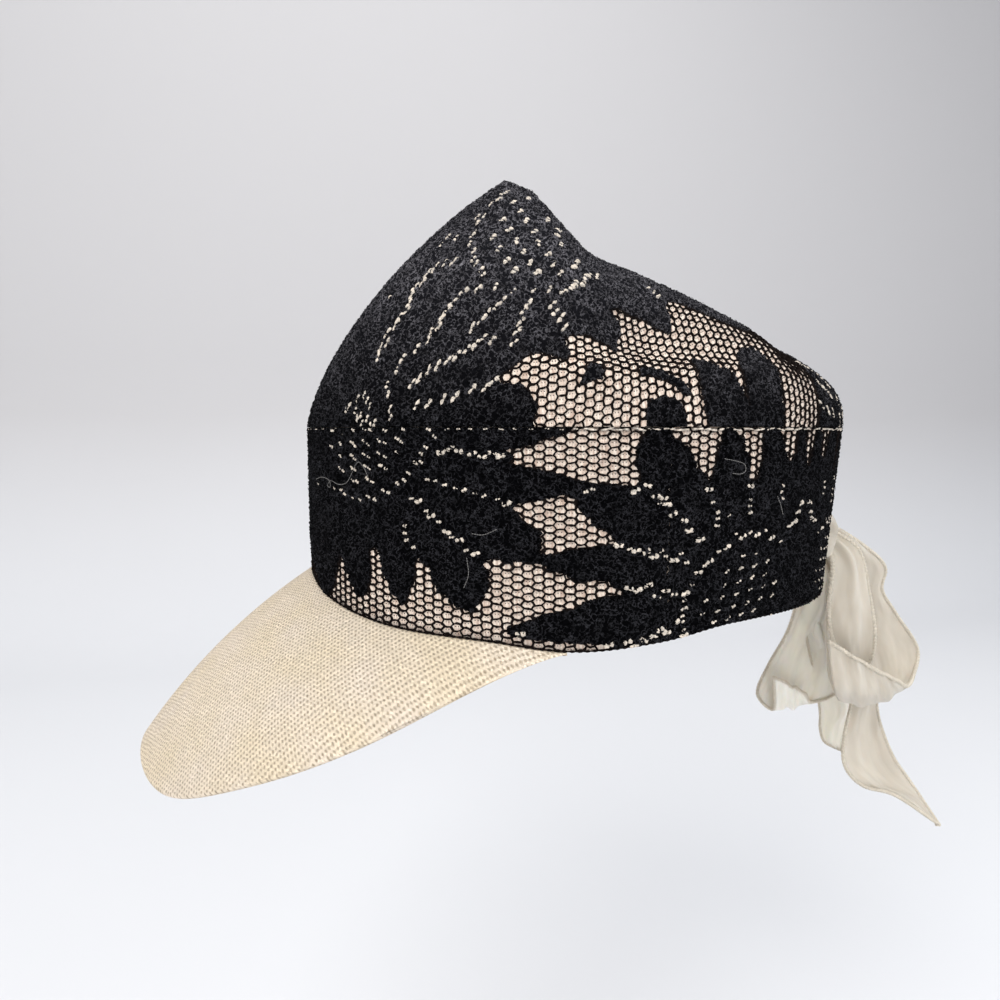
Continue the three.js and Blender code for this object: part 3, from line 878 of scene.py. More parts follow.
CROWN_NETS = (
    spots((-49, 20.3), (-45, 21.5), (-42, 23), (-38, 25), (-34, 25), (-31, 23.3), (-28, 21.5), (-26, 23.5),
          (-26.5, 29), (-24, 30.3), (-18, 31), (-15.5, 29.5), (-12, 28.5), (-10.5, 24.7), (-9, 30),
          (-6.5, 35), (-6.5, 39), (-9.5, 42), (-5, 45), (-2, 43), (3, 42.5), (5, 40), (10.5, 36.5),
          (12, 38), (13, 44), (13, 48), (14.5, 51), (16, 52.5), (21, 52), (25, 50), (28, 49.5), (32, 48),
          (37, 46.5), (44, 46), (60, 60), (70, 75), (67, 40), (66, 20), (66, -5), (-40, -5), (-41, 5),
          (-38.5, 9), (-40.5, 14), (-42, 16.5), (-45, 17.3), (-48, 18)),
)
CROWN_ISLANDS = (
    spots((-23, 17), (-21.5, 19.5), (-18.5, 19.5), (-17, 17), (-18.5, 14.5), (-22, 14.2), (-26, 12.5)),
    spots((-6, -2), (-6, 5), (-4, 8.5), (1, 9.5), (5.5, 8), (7, 3), (6, -2)),
    spots((-6, 18.5), (-2, 19), (2, 17.5), (6.5, 15.5), (9, 13), (9.5, 10), (7, 10), (5, 13), (1, 15),
          (-2, 16), (-6, 15.8)),
    spots((14, -2), (13.5, 12), (14, 26), (18, 25), (21, 22.5), (26, 20), (28, 15), (30, 8), (30, 22),
          (33, 31), (36, 34.5), (40, 35.5), (43, 34.5), (45, 30), (45, 20), (44.5, 8), (44, -2)),
)
# Rays of the wheel at the side of the crown
CROWN_RAYS = spots(
    (-41, 66), (-40.3, 61), (-38.8, 56.5), (-37.2, 52.6), (-37.3, 72.8), (-36, 68), (-34.8, 63.5),
    (-33.5, 58.8), (-32.3, 54.5), (-31, 51), (-32.5, 82), (-31.5, 77), (-30.3, 72.3), (-29, 67.3),
    (-28.8, 62.3), (-26.8, 57.8), (-25.8, 53.8), (-24.3, 50.3), (-27.5, 87), (-23.5, 74), (-22, 67),
    (-21.3, 63), (-20, 72), (-19, 55), (-17, 58.5), (-24.5, 44), (-22, 46), (-20, 48), (-17.5, 49),
    (-16, 52), (-13.5, 54), (-10.5, 55), (-9.5, 57))
# Its rim, and the wheel at the front of the crown
CROWN_DOTS = spots(
    (-28.5, 45), (-33, 45), (-39, 45.8), (-43.5, 48.3), (-46.3, 53.3), (-46.7, 55.5), (-47.5, 58.3),
    (-48.2, 60.5), (-47.4, 63.5), (-48, 67.3), (-47.1, 70.3), (-45.8, 71.5), (-44.5, 75.5), (-42, 77.5),
    (-44, 79), (-39.3, 82.5), (-36.8, 83.8), (-35.3, 87.3), (-33.5, 89.5), (11, 59), (12, 56.5),
    (12.5, 54), (-57, 75), (-54.5, 77.5), (-52, 73.5), (-77.5, 67.5), (-103.5, 37.3), (-102, 37.3),
    (-97, 37), (-94, 36.3), (-99.5, 34), (-93.5, 33.7), (-99.5, 31), (-97.5, 31), (-93, 31), (-98, 28),
    (-95.5, 28), (-95, 25), (-93, 24.8), (-84.5, 33.5), (-85, 30.5), (-85.5, 25.5), (-86.5, 23))
# Cells that stand nearly open in the chains of the crown
CROWN_GAPS = spots(
    (-85.5, 45), (-84, 47.5), (-81, 47.7), (-80.5, 51.2), (-77, 52), (-75, 54), (-72, 54.5), (-71, 57),
    (-69.5, 59.5), (-68, 62), (-65, 62), (-63, 64.5), (-60, 65), (-57, 64.3), (-54, 63),
    (-79.5, 36.3), (-77, 38.7), (-71.5, 39), (-67, 39.5), (-66, 41.7), (-63, 42.3), (-61, 45),
    (-59, 46.3), (-57, 48), (-53, 50.3), (-48.5, 49.5), (-53, 37.5), (-50, 39), (-47.5, 40.5),
    (-45, 41.8), (-42.5, 43.3), (-76, 29), (-73, 29.3), (-69.5, 30.2), (-66, 30.3), (-62.5, 30.7),
    (-59.5, 31), (-56, 31.7), (-53, 32.3), (-50.5, 33.3), (-48, 31.8), (-42, 29.5), (-76.5, 21.7),
    (-72, 20.3), (-67, 20), (-63, 19), (-57, 19.5), (-53, 18.5), (-50, 19.5), (-35.5, 41), (-37, 39),
    (-38.5, 36), (-40, 33), (-28.5, 40), (-28, 37.5), (-26.5, 36), (-26, 33))
CROWN_FLECKS = (
    Flecks(1.4, 1.0, 48, CROWN_RAYS), Flecks(1.3, 0.65, 45, CROWN_DOTS), Flecks(2.0, 0.75, 38, CROWN_GAPS),
)


@dataclass(frozen=True)
class Net:
    """The lattice of the lace: pointed cells in columns, every other column half a cell higher."""
    width: float = 3.049
    height: float = 2.2
    shoulder: float = 0.38
    origin: Spot = Spot(0.0, 0.5)

    def at(self, column_place: Array, row_place: Array) -> Array:
        """The flat place of a point given in columns and rows of cells."""
        return np.stack([self.origin.across + self.width * column_place,
                         self.origin.up + self.height * row_place], axis=-1)

    def ring(self) -> Array:
        """The points round a cell: its corners, each followed by the middle of the next edge.

        Returns:
            Twelve places in columns and rows from the middle of the cell.
        """
        point, shoulder = 1 - self.shoulder, self.shoulder
        corners = np.array([(point, 0), (shoulder, 0.5), (-shoulder, 0.5), (-point, 0), (-shoulder, -0.5),
                            (shoulder, -0.5)])
        middles = (corners + np.roll(corners, -1, axis=0)) / 2
        return np.stack([corners, middles], axis=1).reshape(-1, 2)


@dataclass(frozen=True)
class CrownNet(Net):
    """The lattice on the crown, pulled on the bias so that its rows climb towards the back."""
    width: float = 2.75
    height: float = 2.8
    origin: Spot = Spot(-10.0, 20.0)
    lean: float = 0.4
    climb: float = 0.5
    turn: float = 0.09
    stretch: float = 0.03
    turn_reach: float = 11.0

    def at(self, column_place: Array, row_place: Array) -> Array:
        """The flat place of a point.

        Args:
            column_place: Its place in columns of cells.
            row_place: Its place in rows of cells.

        Returns:
            The flat place.
        """
        held = np.clip(column_place, -self.turn_reach, self.turn_reach)
        beyond = column_place - held
        rise = self.climb * column_place + self.turn * (held**2 / 2 + held * beyond)
        return np.stack([
            self.origin.across + self.width * column_place + (self.lean - self.stretch * held) * row_place,
            self.origin.up + rise + (self.height + self.stretch * held) * row_place,
        ], axis=-1)


@dataclass
class LaceMaker:
    """Works the cells of a chart as raised threads and pads on a cloth."""
    surface: BandSurface | CrownSurface
    chart: LaceChart
    net: Net
    ground: float = 0.9
    sunk: float = -0.15
    crest: float = 0.62
    crest_spread: float = 0.14
    shoulder_share: float = 0.75
    pad: float = 0.72
    pad_spread: float = 0.28
    most_stray: float = 2.0
    thread_half: float = 0.25
    foot_half: float = 0.35
    wobble: float = 0.13
    pad_middle: float = 0.5
    edge_outer: float = 0.66
    edge_inner: float = 0.33
    knot_size: float = 0.46
    knot_height: float = 0.45
    knot_aside: float = 0.15
    knot_up: float = 0.12
    fleck_height: float = 1.0
    fleck_foot: float = 0.35
    fleck_spread: float = 0.22
    dome_sides: int = 10
    dome_ring: float = 0.6
    dome_shoulder: float = 0.93
    dome_share: Span = (0.62, 0.92)
    dome_apart: float = 0.5
    dome_aside: float = 0.3
    hair_share: float = 0.22
    hair_stray: float = 0.4
    hair_reach: float = 1.9
    hair_least: float = 0.4
    hair_bend: float = 2.4
    hair_lift: float = 0.45
    hair_sunk: float = 0.2
    hair_half: float = 0.10
    hair_thinning: float = 0.6
    hair_steps: int = 4
    hair_sides: int = 3

    def cells(self, columns: range, rows: range) -> tuple[Array, Array]:
        """The cells that touch the cloth.

        Args:
            columns: The columns of cells to look through.
            rows: The rows of cells to look through.

        Returns:
            The middles of the cells in columns and rows, and the kind of each.
        """
        i, j = np.meshgrid(np.array(columns), np.array(rows), indexing="ij")
        middles = np.stack([i.ravel(), j.ravel() + 0.5 * (i.ravel() % 2)], axis=-1).astype(float)
        corners = middles[:, None, :] + self.net.ring()[None, ::2]
        flat = self.net.at(corners[..., 0], corners[..., 1])
        touching = self.surface.inside(flat.reshape(-1, 2)).reshape(len(middles), -1).any(axis=1)
        middles = middles[touching]
        ring = middles[:, None, :] + self.net.ring()[None]
        around = np.concatenate([ring, middles[:, None, :]], axis=1).reshape(-1, 2)
        is_open = self.chart.is_net(self.net.at(around[:, 0], around[:, 1]))
        open_share = is_open.reshape(len(middles), -1).mean(1)
        kinds = np.select([open_share == 1, open_share == 0], [Cell.OPEN, Cell.FILLED], Cell.EDGE)
        return middles, kinds

    def inner_ring(self, middles: Array, ring: Array, half: float) -> Array:
        """Rings of points moved in towards the middles of their cells by a true distance.

        Args:
            middles: The middles of the cells in columns and rows.
            ring: The points round each.
            half: The distance.

        Returns:
            The moved points, in columns and rows.
        """
        flat_middle = self.net.at(middles[:, None, 0], middles[:, None, 1])
        flat_ring = self.net.at(ring[..., 0], ring[..., 1])
        reach = np.linalg.norm(flat_ring - flat_middle, axis=-1, keepdims=True)
        return middles[:, None, :] + (ring - middles[:, None, :]) * (1 - half / reach)

    def worked(self, middles: Array, kinds: Array) -> tuple[Grid, Array]:
        """The mesh of the cells given.

        Args:
            middles: The middles of the cells in columns and rows.
            kinds: The kind of each cell.

        Returns:
            The mesh in space, and how filled each of its points is.
        """
        chance = np.random.default_rng(SEED)
        parts = [self.cell_rings(middles[kinds == kind], kind) for kind in Cell if np.any(kinds == kind)]
        lattice = np.concatenate([part[0] for part in parts])
        layer = np.concatenate([part[1] for part in parts])
        offset = np.cumsum([0] + [len(part[0]) for part in parts[:-1]])
        faces = np.concatenate([part[2] + first for part, first in zip(parts, offset)])
        flat = self.net.at(lattice[:, 0], lattice[:, 1])
        keys = np.concatenate([np.round(flat, 3), layer[:, None]], axis=1)
        _, first, shared = np.unique(keys, axis=0, return_index=True, return_inverse=True)
        filled = ~self.chart.is_net(flat[first])
        points, ways, edge = self.surface.place(self.pulled(flat[first]), self.ground)
        height = self.heights(layer[first], filled, chance)
        height[edge] = np.minimum(height[edge], 0.0)
        faces = shared.ravel()[faces]
        hidden = ((layer[first] == Layer.FOOT) & ~filled)[faces].all(axis=1)
        grid = Grid(points + ways * height[:, None], faces[whole_triangles(faces) & ~hidden])
        return grid, filled.astype(float)

    def pulled(self, flat: Array) -> Array:
        """Flat places a little out of true, as threads pull each other.

        Args:
            flat: The true places.

        Returns:
            The moved places.
        """
        across, up = flat[:, 0], flat[:, 1]
        moves = [sum(wave.size * np.sin(wave.across * across + wave.up * up) for wave in waves)
                 for waves in PULLS]
        return flat + self.wobble * np.stack(moves, axis=-1)

    def heights(self, layer: Array, filled: Array, chance: np.random.Generator) -> Array:
        """Height over the ground cloth of each point.

        Args:
            layer: Where each point stands in its cell.
            filled: Whether each lies in a petal.
            chance: The source of the unevenness.

        Returns:
            The heights.
        """
        wander = np.clip(chance.normal(size=len(layer)), -self.most_stray, self.most_stray)
        crest = self.crest + self.crest_spread * wander
        thread = np.where(layer == Layer.CREST, crest, crest * self.shoulder_share)
        thread = np.where(layer == Layer.FOOT, self.sunk, thread)
        return np.where(filled, self.pad + self.pad_spread * wander, thread)

    def cell_rings(self, chosen: Array, kind: Cell) -> tuple[Array, Array, Array]:
        """The meshes of cells of one kind, in columns and rows.

        Args:
            chosen: The middles of the cells.
            kind: How they are worked.

        Returns:
            The points, the layer of each, and the faces.
        """
        middle = chosen[:, None, :]
        ring = middle + self.net.ring()[None]
        towards = ring - middle
        thread = self.inner_ring(chosen, ring, self.thread_half)
        if kind == Cell.OPEN:
            rings = [ring, thread, self.inner_ring(chosen, ring, self.foot_half)]
            layers = (Layer.CREST, Layer.SHOULDER, Layer.FOOT)
        elif kind == Cell.EDGE:
            rings = [ring, thread, middle + towards * self.edge_outer, middle + towards * self.edge_inner,
                     middle]
            layers = (Layer.CREST, Layer.SHOULDER, Layer.FOOT, Layer.FOOT, Layer.FOOT)
        else:
            rings = [ring, middle + towards * self.pad_middle, middle]
            layers = (Layer.CREST, Layer.FOOT, Layer.FOOT)
        points = np.concatenate(rings, axis=1)
        layer = np.concatenate([np.full(part.shape[:2], int(number)) for part, number in zip(rings, layers)],
                               axis=1)
        closed = kind != Cell.OPEN
        cell = ring_faces(len(rings) - closed, ring.shape[1], closed)
        return points.reshape(-1, 2), layer.ravel(), repeated(cell, len(chosen), points.shape[1])

    def fleck_domes(self) -> Grid:
        """All flecks of the chart, each two small uneven domes that stand through the black.

        Returns:
            The mesh in space.
        """
        chance = np.random.default_rng(SEED + 1)
        spread = self.fleck_spread
        turn = circle(self.dome_sides)
        outer = np.stack([np.cos(turn), np.sin(turn)], -1)
        shape = np.concatenate([outer, outer * self.dome_ring, [[0.0, 0.0]]])
        rise = np.r_[np.full(self.dome_sides, self.fleck_foot),
                     np.full(self.dome_sides, self.dome_shoulder * self.fleck_height), self.fleck_height]
        flats = []
        for group in self.chart.flecks:
            half = np.array([group.half_long, group.half_wide])
            for place in group.places:
                for spot in self.chart.images(place):
                    lean = math.radians(group.lean) * (1 if spot.across == place.across else -1)
                    lean += spread * chance.uniform(-1, 1)
                    spin = np.array([[math.cos(lean), math.sin(lean)], [-math.sin(lean), math.cos(lean)]])
                    for end in (-self.dome_apart, self.dome_apart):
                        size = half * self.dome_share * (1 + spread * chance.uniform(-1, 1, 2))
                        uneven = 1 + spread * chance.uniform(-1, 1, (len(shape), 1))
                        aside = self.dome_aside * chance.uniform(-1, 1)
                        flats.append((shape * uneven * size + half * [end, aside]) @ spin + spot)
        flat = np.array(flats)
        flat = flat[self.surface.inside(flat[:, -1])]
        points, ways, _ = self.surface.place(flat.reshape(-1, 2), self.ground)
        faces = repeated(ring_faces(2, self.dome_sides, True), len(flat), len(shape))
        return Grid(points + ways * np.tile(rise, len(flat))[:, None], faces)

    def hairs(self, middles: Array, kinds: Array) -> Grid:
        """Short loose fibres that stand out of the black.

        Args:
            middles: The middles of the cells in columns and rows.
            kinds: The kind of each cell.

        Returns:
            The mesh in space.
        """
        chance = np.random.default_rng(SEED + 2)
        black = middles[kinds == Cell.FILLED]
        roots = black[chance.random(len(black)) < self.hair_share]
        roots = roots + chance.uniform(-self.hair_stray, self.hair_stray, 2)
        flat = self.net.at(roots[:, 0], roots[:, 1])
        points, ways, _ = self.surface.place(flat[self.surface.inside(flat)], self.ground)
        aside = unit(np.cross(ways, chance.normal(size=ways.shape)))
        share = np.linspace(0, 1, self.hair_steps + 1)
        reach = self.hair_reach * chance.uniform(self.hair_least, 1.0, len(points))
        lift = np.sin(share * self.hair_bend)[None] * reach[:, None] * self.hair_lift
        lift = lift + self.pad - self.hair_sunk
        line = (points[:, None] + ways[:, None] * lift[..., None]
                + aside[:, None] * (share[None] * reach[:, None])[..., None])
        turn = circle(self.hair_sides)[:, None]
        ring = np.cos(turn) * unit(np.cross(ways, aside))[:, None] + np.sin(turn) * ways[:, None]
        thick = self.hair_half * (1 - self.hair_thinning * share)
        tubes = line[:, :, None] + ring[:, None] * thick[None, :, None, None]
        size = tubes.shape[1] * self.hair_sides
        quads = grid_faces(self.hair_steps + 1, self.hair_sides, closed_across=True)
        cell = np.concatenate([quads[:, [0, 3, 2]], quads[:, [0, 2, 1]], [[size - 3, size - 2, size - 1]]])
        return Grid(tubes.reshape(-1, 3), repeated(cell, len(points), size))

    def thread_knots(self, middles: Array, kinds: Array) -> Grid:
        """Two tiny thread bumps on the ground cloth in the upper middle of each open cell.

        Args:
            middles: The middles of the cells in columns and rows.
            kinds: The kind of each cell.

        Returns:
            The mesh in space.
        """
        chosen = middles[kinds == Cell.OPEN]
        corners = np.array([(1, 0), (0, 1), (-1, 0), (0, -1), (0, 0)]) * self.knot_size / 2
        places = []
        for side in (-self.knot_aside, self.knot_aside):
            flat = self.net.at(chosen[:, 0] + side, chosen[:, 1] + self.knot_up)
            places.append(flat[:, None, :] + corners[None])
        flat = np.concatenate(places)
        count, size = flat.shape[:2]
        kept = self.surface.inside(flat.reshape(-1, 2)).reshape(count, size).all(axis=1)
        flat = flat[kept]
        points, ways, _ = self.surface.place(flat.reshape(-1, 2), self.ground)
        tall = np.tile([self.sunk] * (size - 1) + [self.knot_height], len(flat))
        cell = np.array([(0, 1, 4), (1, 2, 4), (2, 3, 4), (3, 0, 4)])
        return Grid(points + ways * tall[:, None], repeated(cell, len(flat), size))


class Nodes:
    """A node tree with short calls to add its nodes and join them."""

    # Sockets that hold the colours of a colour mix, whose names its other kinds of mix share
    FIRST_COLOUR, SECOND_COLOUR, MIXED_COLOUR = 6, 7, 2

    def __init__(self, tree: bpy.types.NodeTree) -> None:
        """Takes the tree that the calls add to."""
        self.tree = tree

    def add(self, kind: str, inputs: dict[str | int, object] | None = None,
            **settings: object) -> bpy.types.Node:
        """A new node.

        Args:
            kind: The node's type.
            inputs: A socket that feeds it, or the value, for each input that is filled.
            settings: The values of its properties.

        Returns:
            The node.
        """
        node = self.tree.nodes.new(kind)
        for name, value in settings.items():
            setattr(node, name, value)
        for name, value in (inputs or {}).items():
            self.feed(node.inputs[name], value)
        return node

    def feed(self, target: Socket, value: object) -> None:
        """Fills an input.

        Args:
            target: The input.
            value: A socket that feeds it, or its value.
        """
        if isinstance(value, Socket):
            self.tree.links.new(value, target)
        else:
            target.default_value = value

    def group(self, name: str, **inputs: object) -> bpy.types.NodeOutputs:
        """The outputs of a placed node group with its own inputs."""
        return self.add("ShaderNodeGroup", inputs, node_tree=bpy.data.node_groups[name]).outputs

    def place(self) -> Socket:
        """The place on the object, in metres."""
        return self.add("ShaderNodeTexCoord").outputs["Object"]

    def flat(self) -> Socket:
        """The flat place on the cloth, in millimetres."""
        return self.add("ShaderNodeUVMap", uv_map="flat").outputs["UV"]

    def parts(self, vector: Socket) -> bpy.types.NodeOutputs:
        """The three parts of a vector."""
        return self.add("ShaderNodeSeparateXYZ", {0: vector}).outputs

    def scaled(self, vector: Socket, scale: Point) -> Socket:
        """A vector with its parts scaled."""
        return self.add("ShaderNodeMapping", {"Vector": vector, "Scale": scale}).outputs["Vector"]

    def math(self, operation: str, first: object, second: object = 0.0) -> Socket:
        """The result of one sum on sockets or numbers."""
        return self.add("ShaderNodeMath", {0: first, 1: second}, operation=operation).outputs[0]

    def mix(self, share: object, first: object, second: object) -> Socket:
        """A colour between two, by a share."""
        inputs = {"Factor": share, self.FIRST_COLOUR: first, self.SECOND_COLOUR: second}
        return self.add("ShaderNodeMix", inputs, data_type="RGBA").outputs[self.MIXED_COLOUR]

    def noise(self, vector: Socket, scale: object, detail: float = 3.0, roughness: float = 0.5) -> Socket:
        """A soft random number over a vector, with more or fewer finer layers."""
        inputs = {"Vector": vector, "Scale": scale, "Detail": detail, "Roughness": roughness}
        return self.add("ShaderNodeTexNoise", inputs).outputs["Fac"]

    def ranged(self, value: Socket, given: Span, wanted: Span = (0.0, 1.0)) -> Socket:
        """A number held in the given range and spread over the wanted one."""
        inputs = dict(zip(("Value", "From Min", "From Max", "To Min", "To Max"), (value, *given, *wanted)))
        return self.add("ShaderNodeMapRange", inputs).outputs["Result"]

    def bump(self, height: Socket, distance: float, **under: Socket) -> Socket:
        """A normal from a height and what one of it stands for in metres, over the Normal under it."""
        return self.add("ShaderNodeBump", {"Height": height, "Distance": distance, **under}).outputs["Normal"]


def new_group(name: str, inputs: dict[str, str], outputs: dict[str, str]) -> bpy.types.NodeTree:
    """An empty node group with named sockets.

    Args:
        name: The group's name.
        inputs: The kind of socket for each input's name.
        outputs: The kind of socket for each output's name.

    Returns:
        The group's tree.
    """
    tree = bpy.data.node_groups.new(name, "ShaderNodeTree")
    for socket, kind in inputs.items():
        tree.interface.new_socket(name=socket, in_out="INPUT", socket_type=kind)
    for socket, kind in outputs.items():
        tree.interface.new_socket(name=socket, in_out="OUTPUT", socket_type=kind)
    return tree


@dataclass(frozen=True)
class PlainWeave:
    """Plain weave: threads of a pitch in a brick order, as a height and a mask of the holes between them."""
    stray_scale: float = 0.35
    weft_height: float = 0.35
    hole: Span = (0.06, 0.42)

    def make(self) -> bpy.types.NodeTree:
        """The node group.

        Returns:
            The group's tree.
        """
        tree = new_group("plain_weave", {"Vector": "NodeSocketVector", "Pitch": "NodeSocketFloat",
                                         "Wander": "NodeSocketFloat"},
                         {"Height": "NodeSocketFloat", "Gap": "NodeSocketFloat"})
        desk = Nodes(tree)
        given, put = desk.add("NodeGroupInput").outputs, desk.add("NodeGroupOutput").inputs
        stray = desk.noise(given["Vector"], self.stray_scale, 2.0)
        moved = desk.math("MULTIPLY", desk.math("SUBTRACT", stray, 0.5), given["Wander"])
        parts = desk.parts(given["Vector"])
        along = desk.math("DIVIDE", desk.math("ADD", parts[1], moved), given["Pitch"])
        even = desk.math("DIVIDE", desk.math("ADD", parts[0], moved), given["Pitch"])
        row = desk.math("FLOOR", desk.math("ADD", along, 0.5))
        shift = desk.math("MULTIPLY", desk.math("FLOORED_MODULO", row, 2.0), 0.5)
        across = desk.math("ADD", even, shift)
        warp = desk.math("ABSOLUTE", desk.math("SINE", desk.math("MULTIPLY", across, math.pi)))
        weft = desk.math("ABSOLUTE", desk.math("SINE", desk.math("MULTIPLY", along, math.pi)))
        hole = desk.math("MULTIPLY", desk.math("SUBTRACT", 1.0, warp), desk.math("SUBTRACT", 1.0, weft))
        gap = desk.ranged(hole, self.hole)
        desk.feed(put["Height"], desk.math("SUBTRACT", desk.math("MULTIPLY", weft, self.weft_height), gap))
        desk.feed(put["Gap"], gap)
        return tree


@dataclass(frozen=True)
class CrepeGrain:
    """Crimped yarn: fine curls at two scales, as a height and a mask of the crests that catch the light."""
    fine_scale: float = 2.7
    fine_height: float = 0.8
    patch_scale: float = 0.4
    curl: Span = (0.06, 0.0)
    patch: Span = (0.1, 0.6)

    def make(self) -> bpy.types.NodeTree:
        """The node group.

        Returns:
            The group's tree.
        """
        tree = new_group("crepe_grain", {"Vector": "NodeSocketVector", "Scale": "NodeSocketFloat"},
                         {"Height": "NodeSocketFloat", "Shade": "NodeSocketFloat"})
        desk = Nodes(tree)
        given, put = desk.add("NodeGroupInput").outputs, desk.add("NodeGroupOutput").inputs
        vector, scale = given["Vector"], given["Scale"]
        coarse = desk.noise(vector, scale, detail=2.0, roughness=0.6)
        fine = desk.noise(vector, desk.math("MULTIPLY", scale, self.fine_scale), roughness=0.65)
        patch = desk.noise(vector, desk.math("MULTIPLY", scale, self.patch_scale), detail=1.0)
        curl = desk.ranged(desk.math("ABSOLUTE", desk.math("SUBTRACT", coarse, 0.5)), self.curl)
        desk.feed(put["Height"], desk.math("ADD", curl, desk.math("MULTIPLY", fine, self.fine_height)))
        desk.feed(put["Shade"], desk.math("MULTIPLY", curl, desk.ranged(patch, self.patch)))
        return tree


@dataclass(frozen=True)
class Finish:
    """What all the cloths of the hat share: a named material with a rough, dull surface."""
    name: str
    roughness: float = 0.9
    specular: float = 0.2
    sheen: float = 0.0

    def begin(self) -> tuple[Material, Nodes, bpy.types.bpy_prop_collection]:
        """A new material.

        Returns:
            The material, its desk of nodes and the inputs of its shader.
        """
        material = bpy.data.materials.new(self.name)
        material.use_nodes = True
        inputs = material.node_tree.nodes["Principled BSDF"].inputs
        inputs["Roughness"].default_value = self.roughness
        inputs["Specular IOR Level"].default_value = self.specular
        inputs["Sheen Weight"].default_value = self.sheen
        return material, Nodes(material.node_tree), inputs


@dataclass(frozen=True)
class LaceFinish(Finish):
    """Black crimped yarn, browner where it is a single thread, with painted highlights on its curls and
    painted light up the crown.
    """
    roughness: float = 0.8
    specular: float = 0.03
    yarn: Colour = (0.0012, 0.0012, 0.0017, 1)
    # Painted highlight on the curls, the crests that catch the light
    raised: Colour = (0.065, 0.065, 0.074, 1)
    # The yarn and its curl highlights at the top of the crown, painted lighter as light from above falls
    # there
    yarn_painted_lit_top: Colour = (0.011, 0.011, 0.014, 1)
    highlight_painted_lit_top: Colour = (0.38, 0.365, 0.40, 1)
    thread: Colour = (0.014, 0.010, 0.009, 1)
    # Heights in metres over which the painted light from above comes in up the crown
    painted_top_light: Span = (0.064, 0.115)
    wrinkle_scale: float = 560.0
    wrinkle_depth: float = 0.0012

    def make(self) -> Material:
        """The material.

        Returns:
            The material.
        """
        material, desk, shader = self.begin()
        place = desk.place()
        grain = desk.group("crepe_grain", Vector=place, Scale=self.wrinkle_scale)
        fill = desk.add("ShaderNodeAttribute", attribute_name="fill").outputs["Fac"]
        # Painted light from above: how far the top colours take over, by height
        painted_top_light = desk.ranged(desk.parts(place)[2], self.painted_top_light)
        # Painted highlights on the curls over the black yarn, both painted lighter up the crown
        pad = desk.mix(grain["Shade"], desk.mix(painted_top_light, self.yarn, self.yarn_painted_lit_top),
                       desk.mix(painted_top_light, self.raised, self.highlight_painted_lit_top))
        desk.feed(shader["Base Color"], desk.mix(fill, self.thread, pad))
        desk.feed(shader["Normal"], desk.bump(grain["Height"], self.wrinkle_depth))
        return material


@dataclass(frozen=True)
class GroundFinish(Finish):
    """Pinkish cream cloth under the lace, with painted highlights along its warp ribs that run up it."""
    sheen: float = 0.2
    cloth: Colour = (0.66, 0.49, 0.39, 1)
    # Painted highlight along the warp ribs
    rib_highlight: Colour = (0.99, 0.87, 0.75, 1)
    rib_highlight_scale: Point = (1.6, 0.22, 1.0)
    rib_highlight_range: Span = (0.35, 0.65)
    pitch: float = 0.45
    wander: float = 0.1
    weave_depth: float = 0.0001

    def make(self) -> Material:
        """The material.

        Returns:
            The material.
        """
        material, desk, shader = self.begin()
        flat = desk.flat()
        # Painted highlights along the warp ribs, lighter bands that run up the cloth
        rib_highlights = desk.ranged(desk.noise(desk.scaled(flat, self.rib_highlight_scale), 1.0, 2.0), self.rib_highlight_range)
        desk.feed(shader["Base Color"], desk.mix(rib_highlights, self.cloth, self.rib_highlight))
        weave = desk.group("plain_weave", Vector=flat, Pitch=self.pitch, Wander=self.wander)
        desk.feed(shader["Normal"], desk.bump(weave["Height"], self.weave_depth))
        return material


@dataclass(frozen=True)
class PeakFinish(Finish):
    """Warm cream cloth of coarse even threads, with painted shade in the gaps between them, deeper in
    patches, and faded in patches.
    """
    sheen: float = 0.15
    thread: Colour = (0.90, 0.76, 0.56, 1)
    # Painted shade in the gaps between the threads
    between: Colour = (0.46, 0.35, 0.23, 1)
    faded: Colour = (0.92, 0.79, 0.64, 1)
    faded_scale: float = 0.05
    faded_range: Span = (0.35, 0.65)
    # Patches where the painted shade in the gaps is deeper
    gap_patch_scale: float = 0.6
    gap_patch_range: Span = (0.25, 0.7)
    least_dark: float = 0.45
    gap_patch_shade: float = 0.5
    pitch: float = 1.25
    wander: float = 0.9
    weave_depth: float = 0.0003
    grain_scale: float = 1.6
    grain_depth: float = 0.0002

    def make(self) -> Material:
        """The material.

        Returns:
            The material.
        """
        material, desk, shader = self.begin()
        flat = desk.flat()
        weave = desk.group("plain_weave", Vector=flat, Pitch=self.pitch, Wander=self.wander)
        faded = desk.ranged(desk.noise(flat, self.faded_scale), self.faded_range)
        # Painted shade in the gaps between the threads, deeper in random patches
        gap_patches = desk.ranged(desk.noise(flat, self.gap_patch_scale, 2.0), self.gap_patch_range)
        dark = desk.math("ADD", self.least_dark, desk.math("MULTIPLY", gap_patches, self.gap_patch_shade))
        depth = desk.math("MULTIPLY", weave["Gap"], dark)
        tone = desk.mix(faded, self.thread, self.faded)
        desk.feed(shader["Base Color"], desk.mix(depth, tone, self.between))
        grain = desk.group("crepe_grain", Vector=flat, Scale=self.grain_scale)
        coarse = desk.bump(weave["Height"], self.weave_depth)
        desk.feed(shader["Normal"], desk.bump(grain["Height"], self.grain_depth, Normal=coarse))
        return material


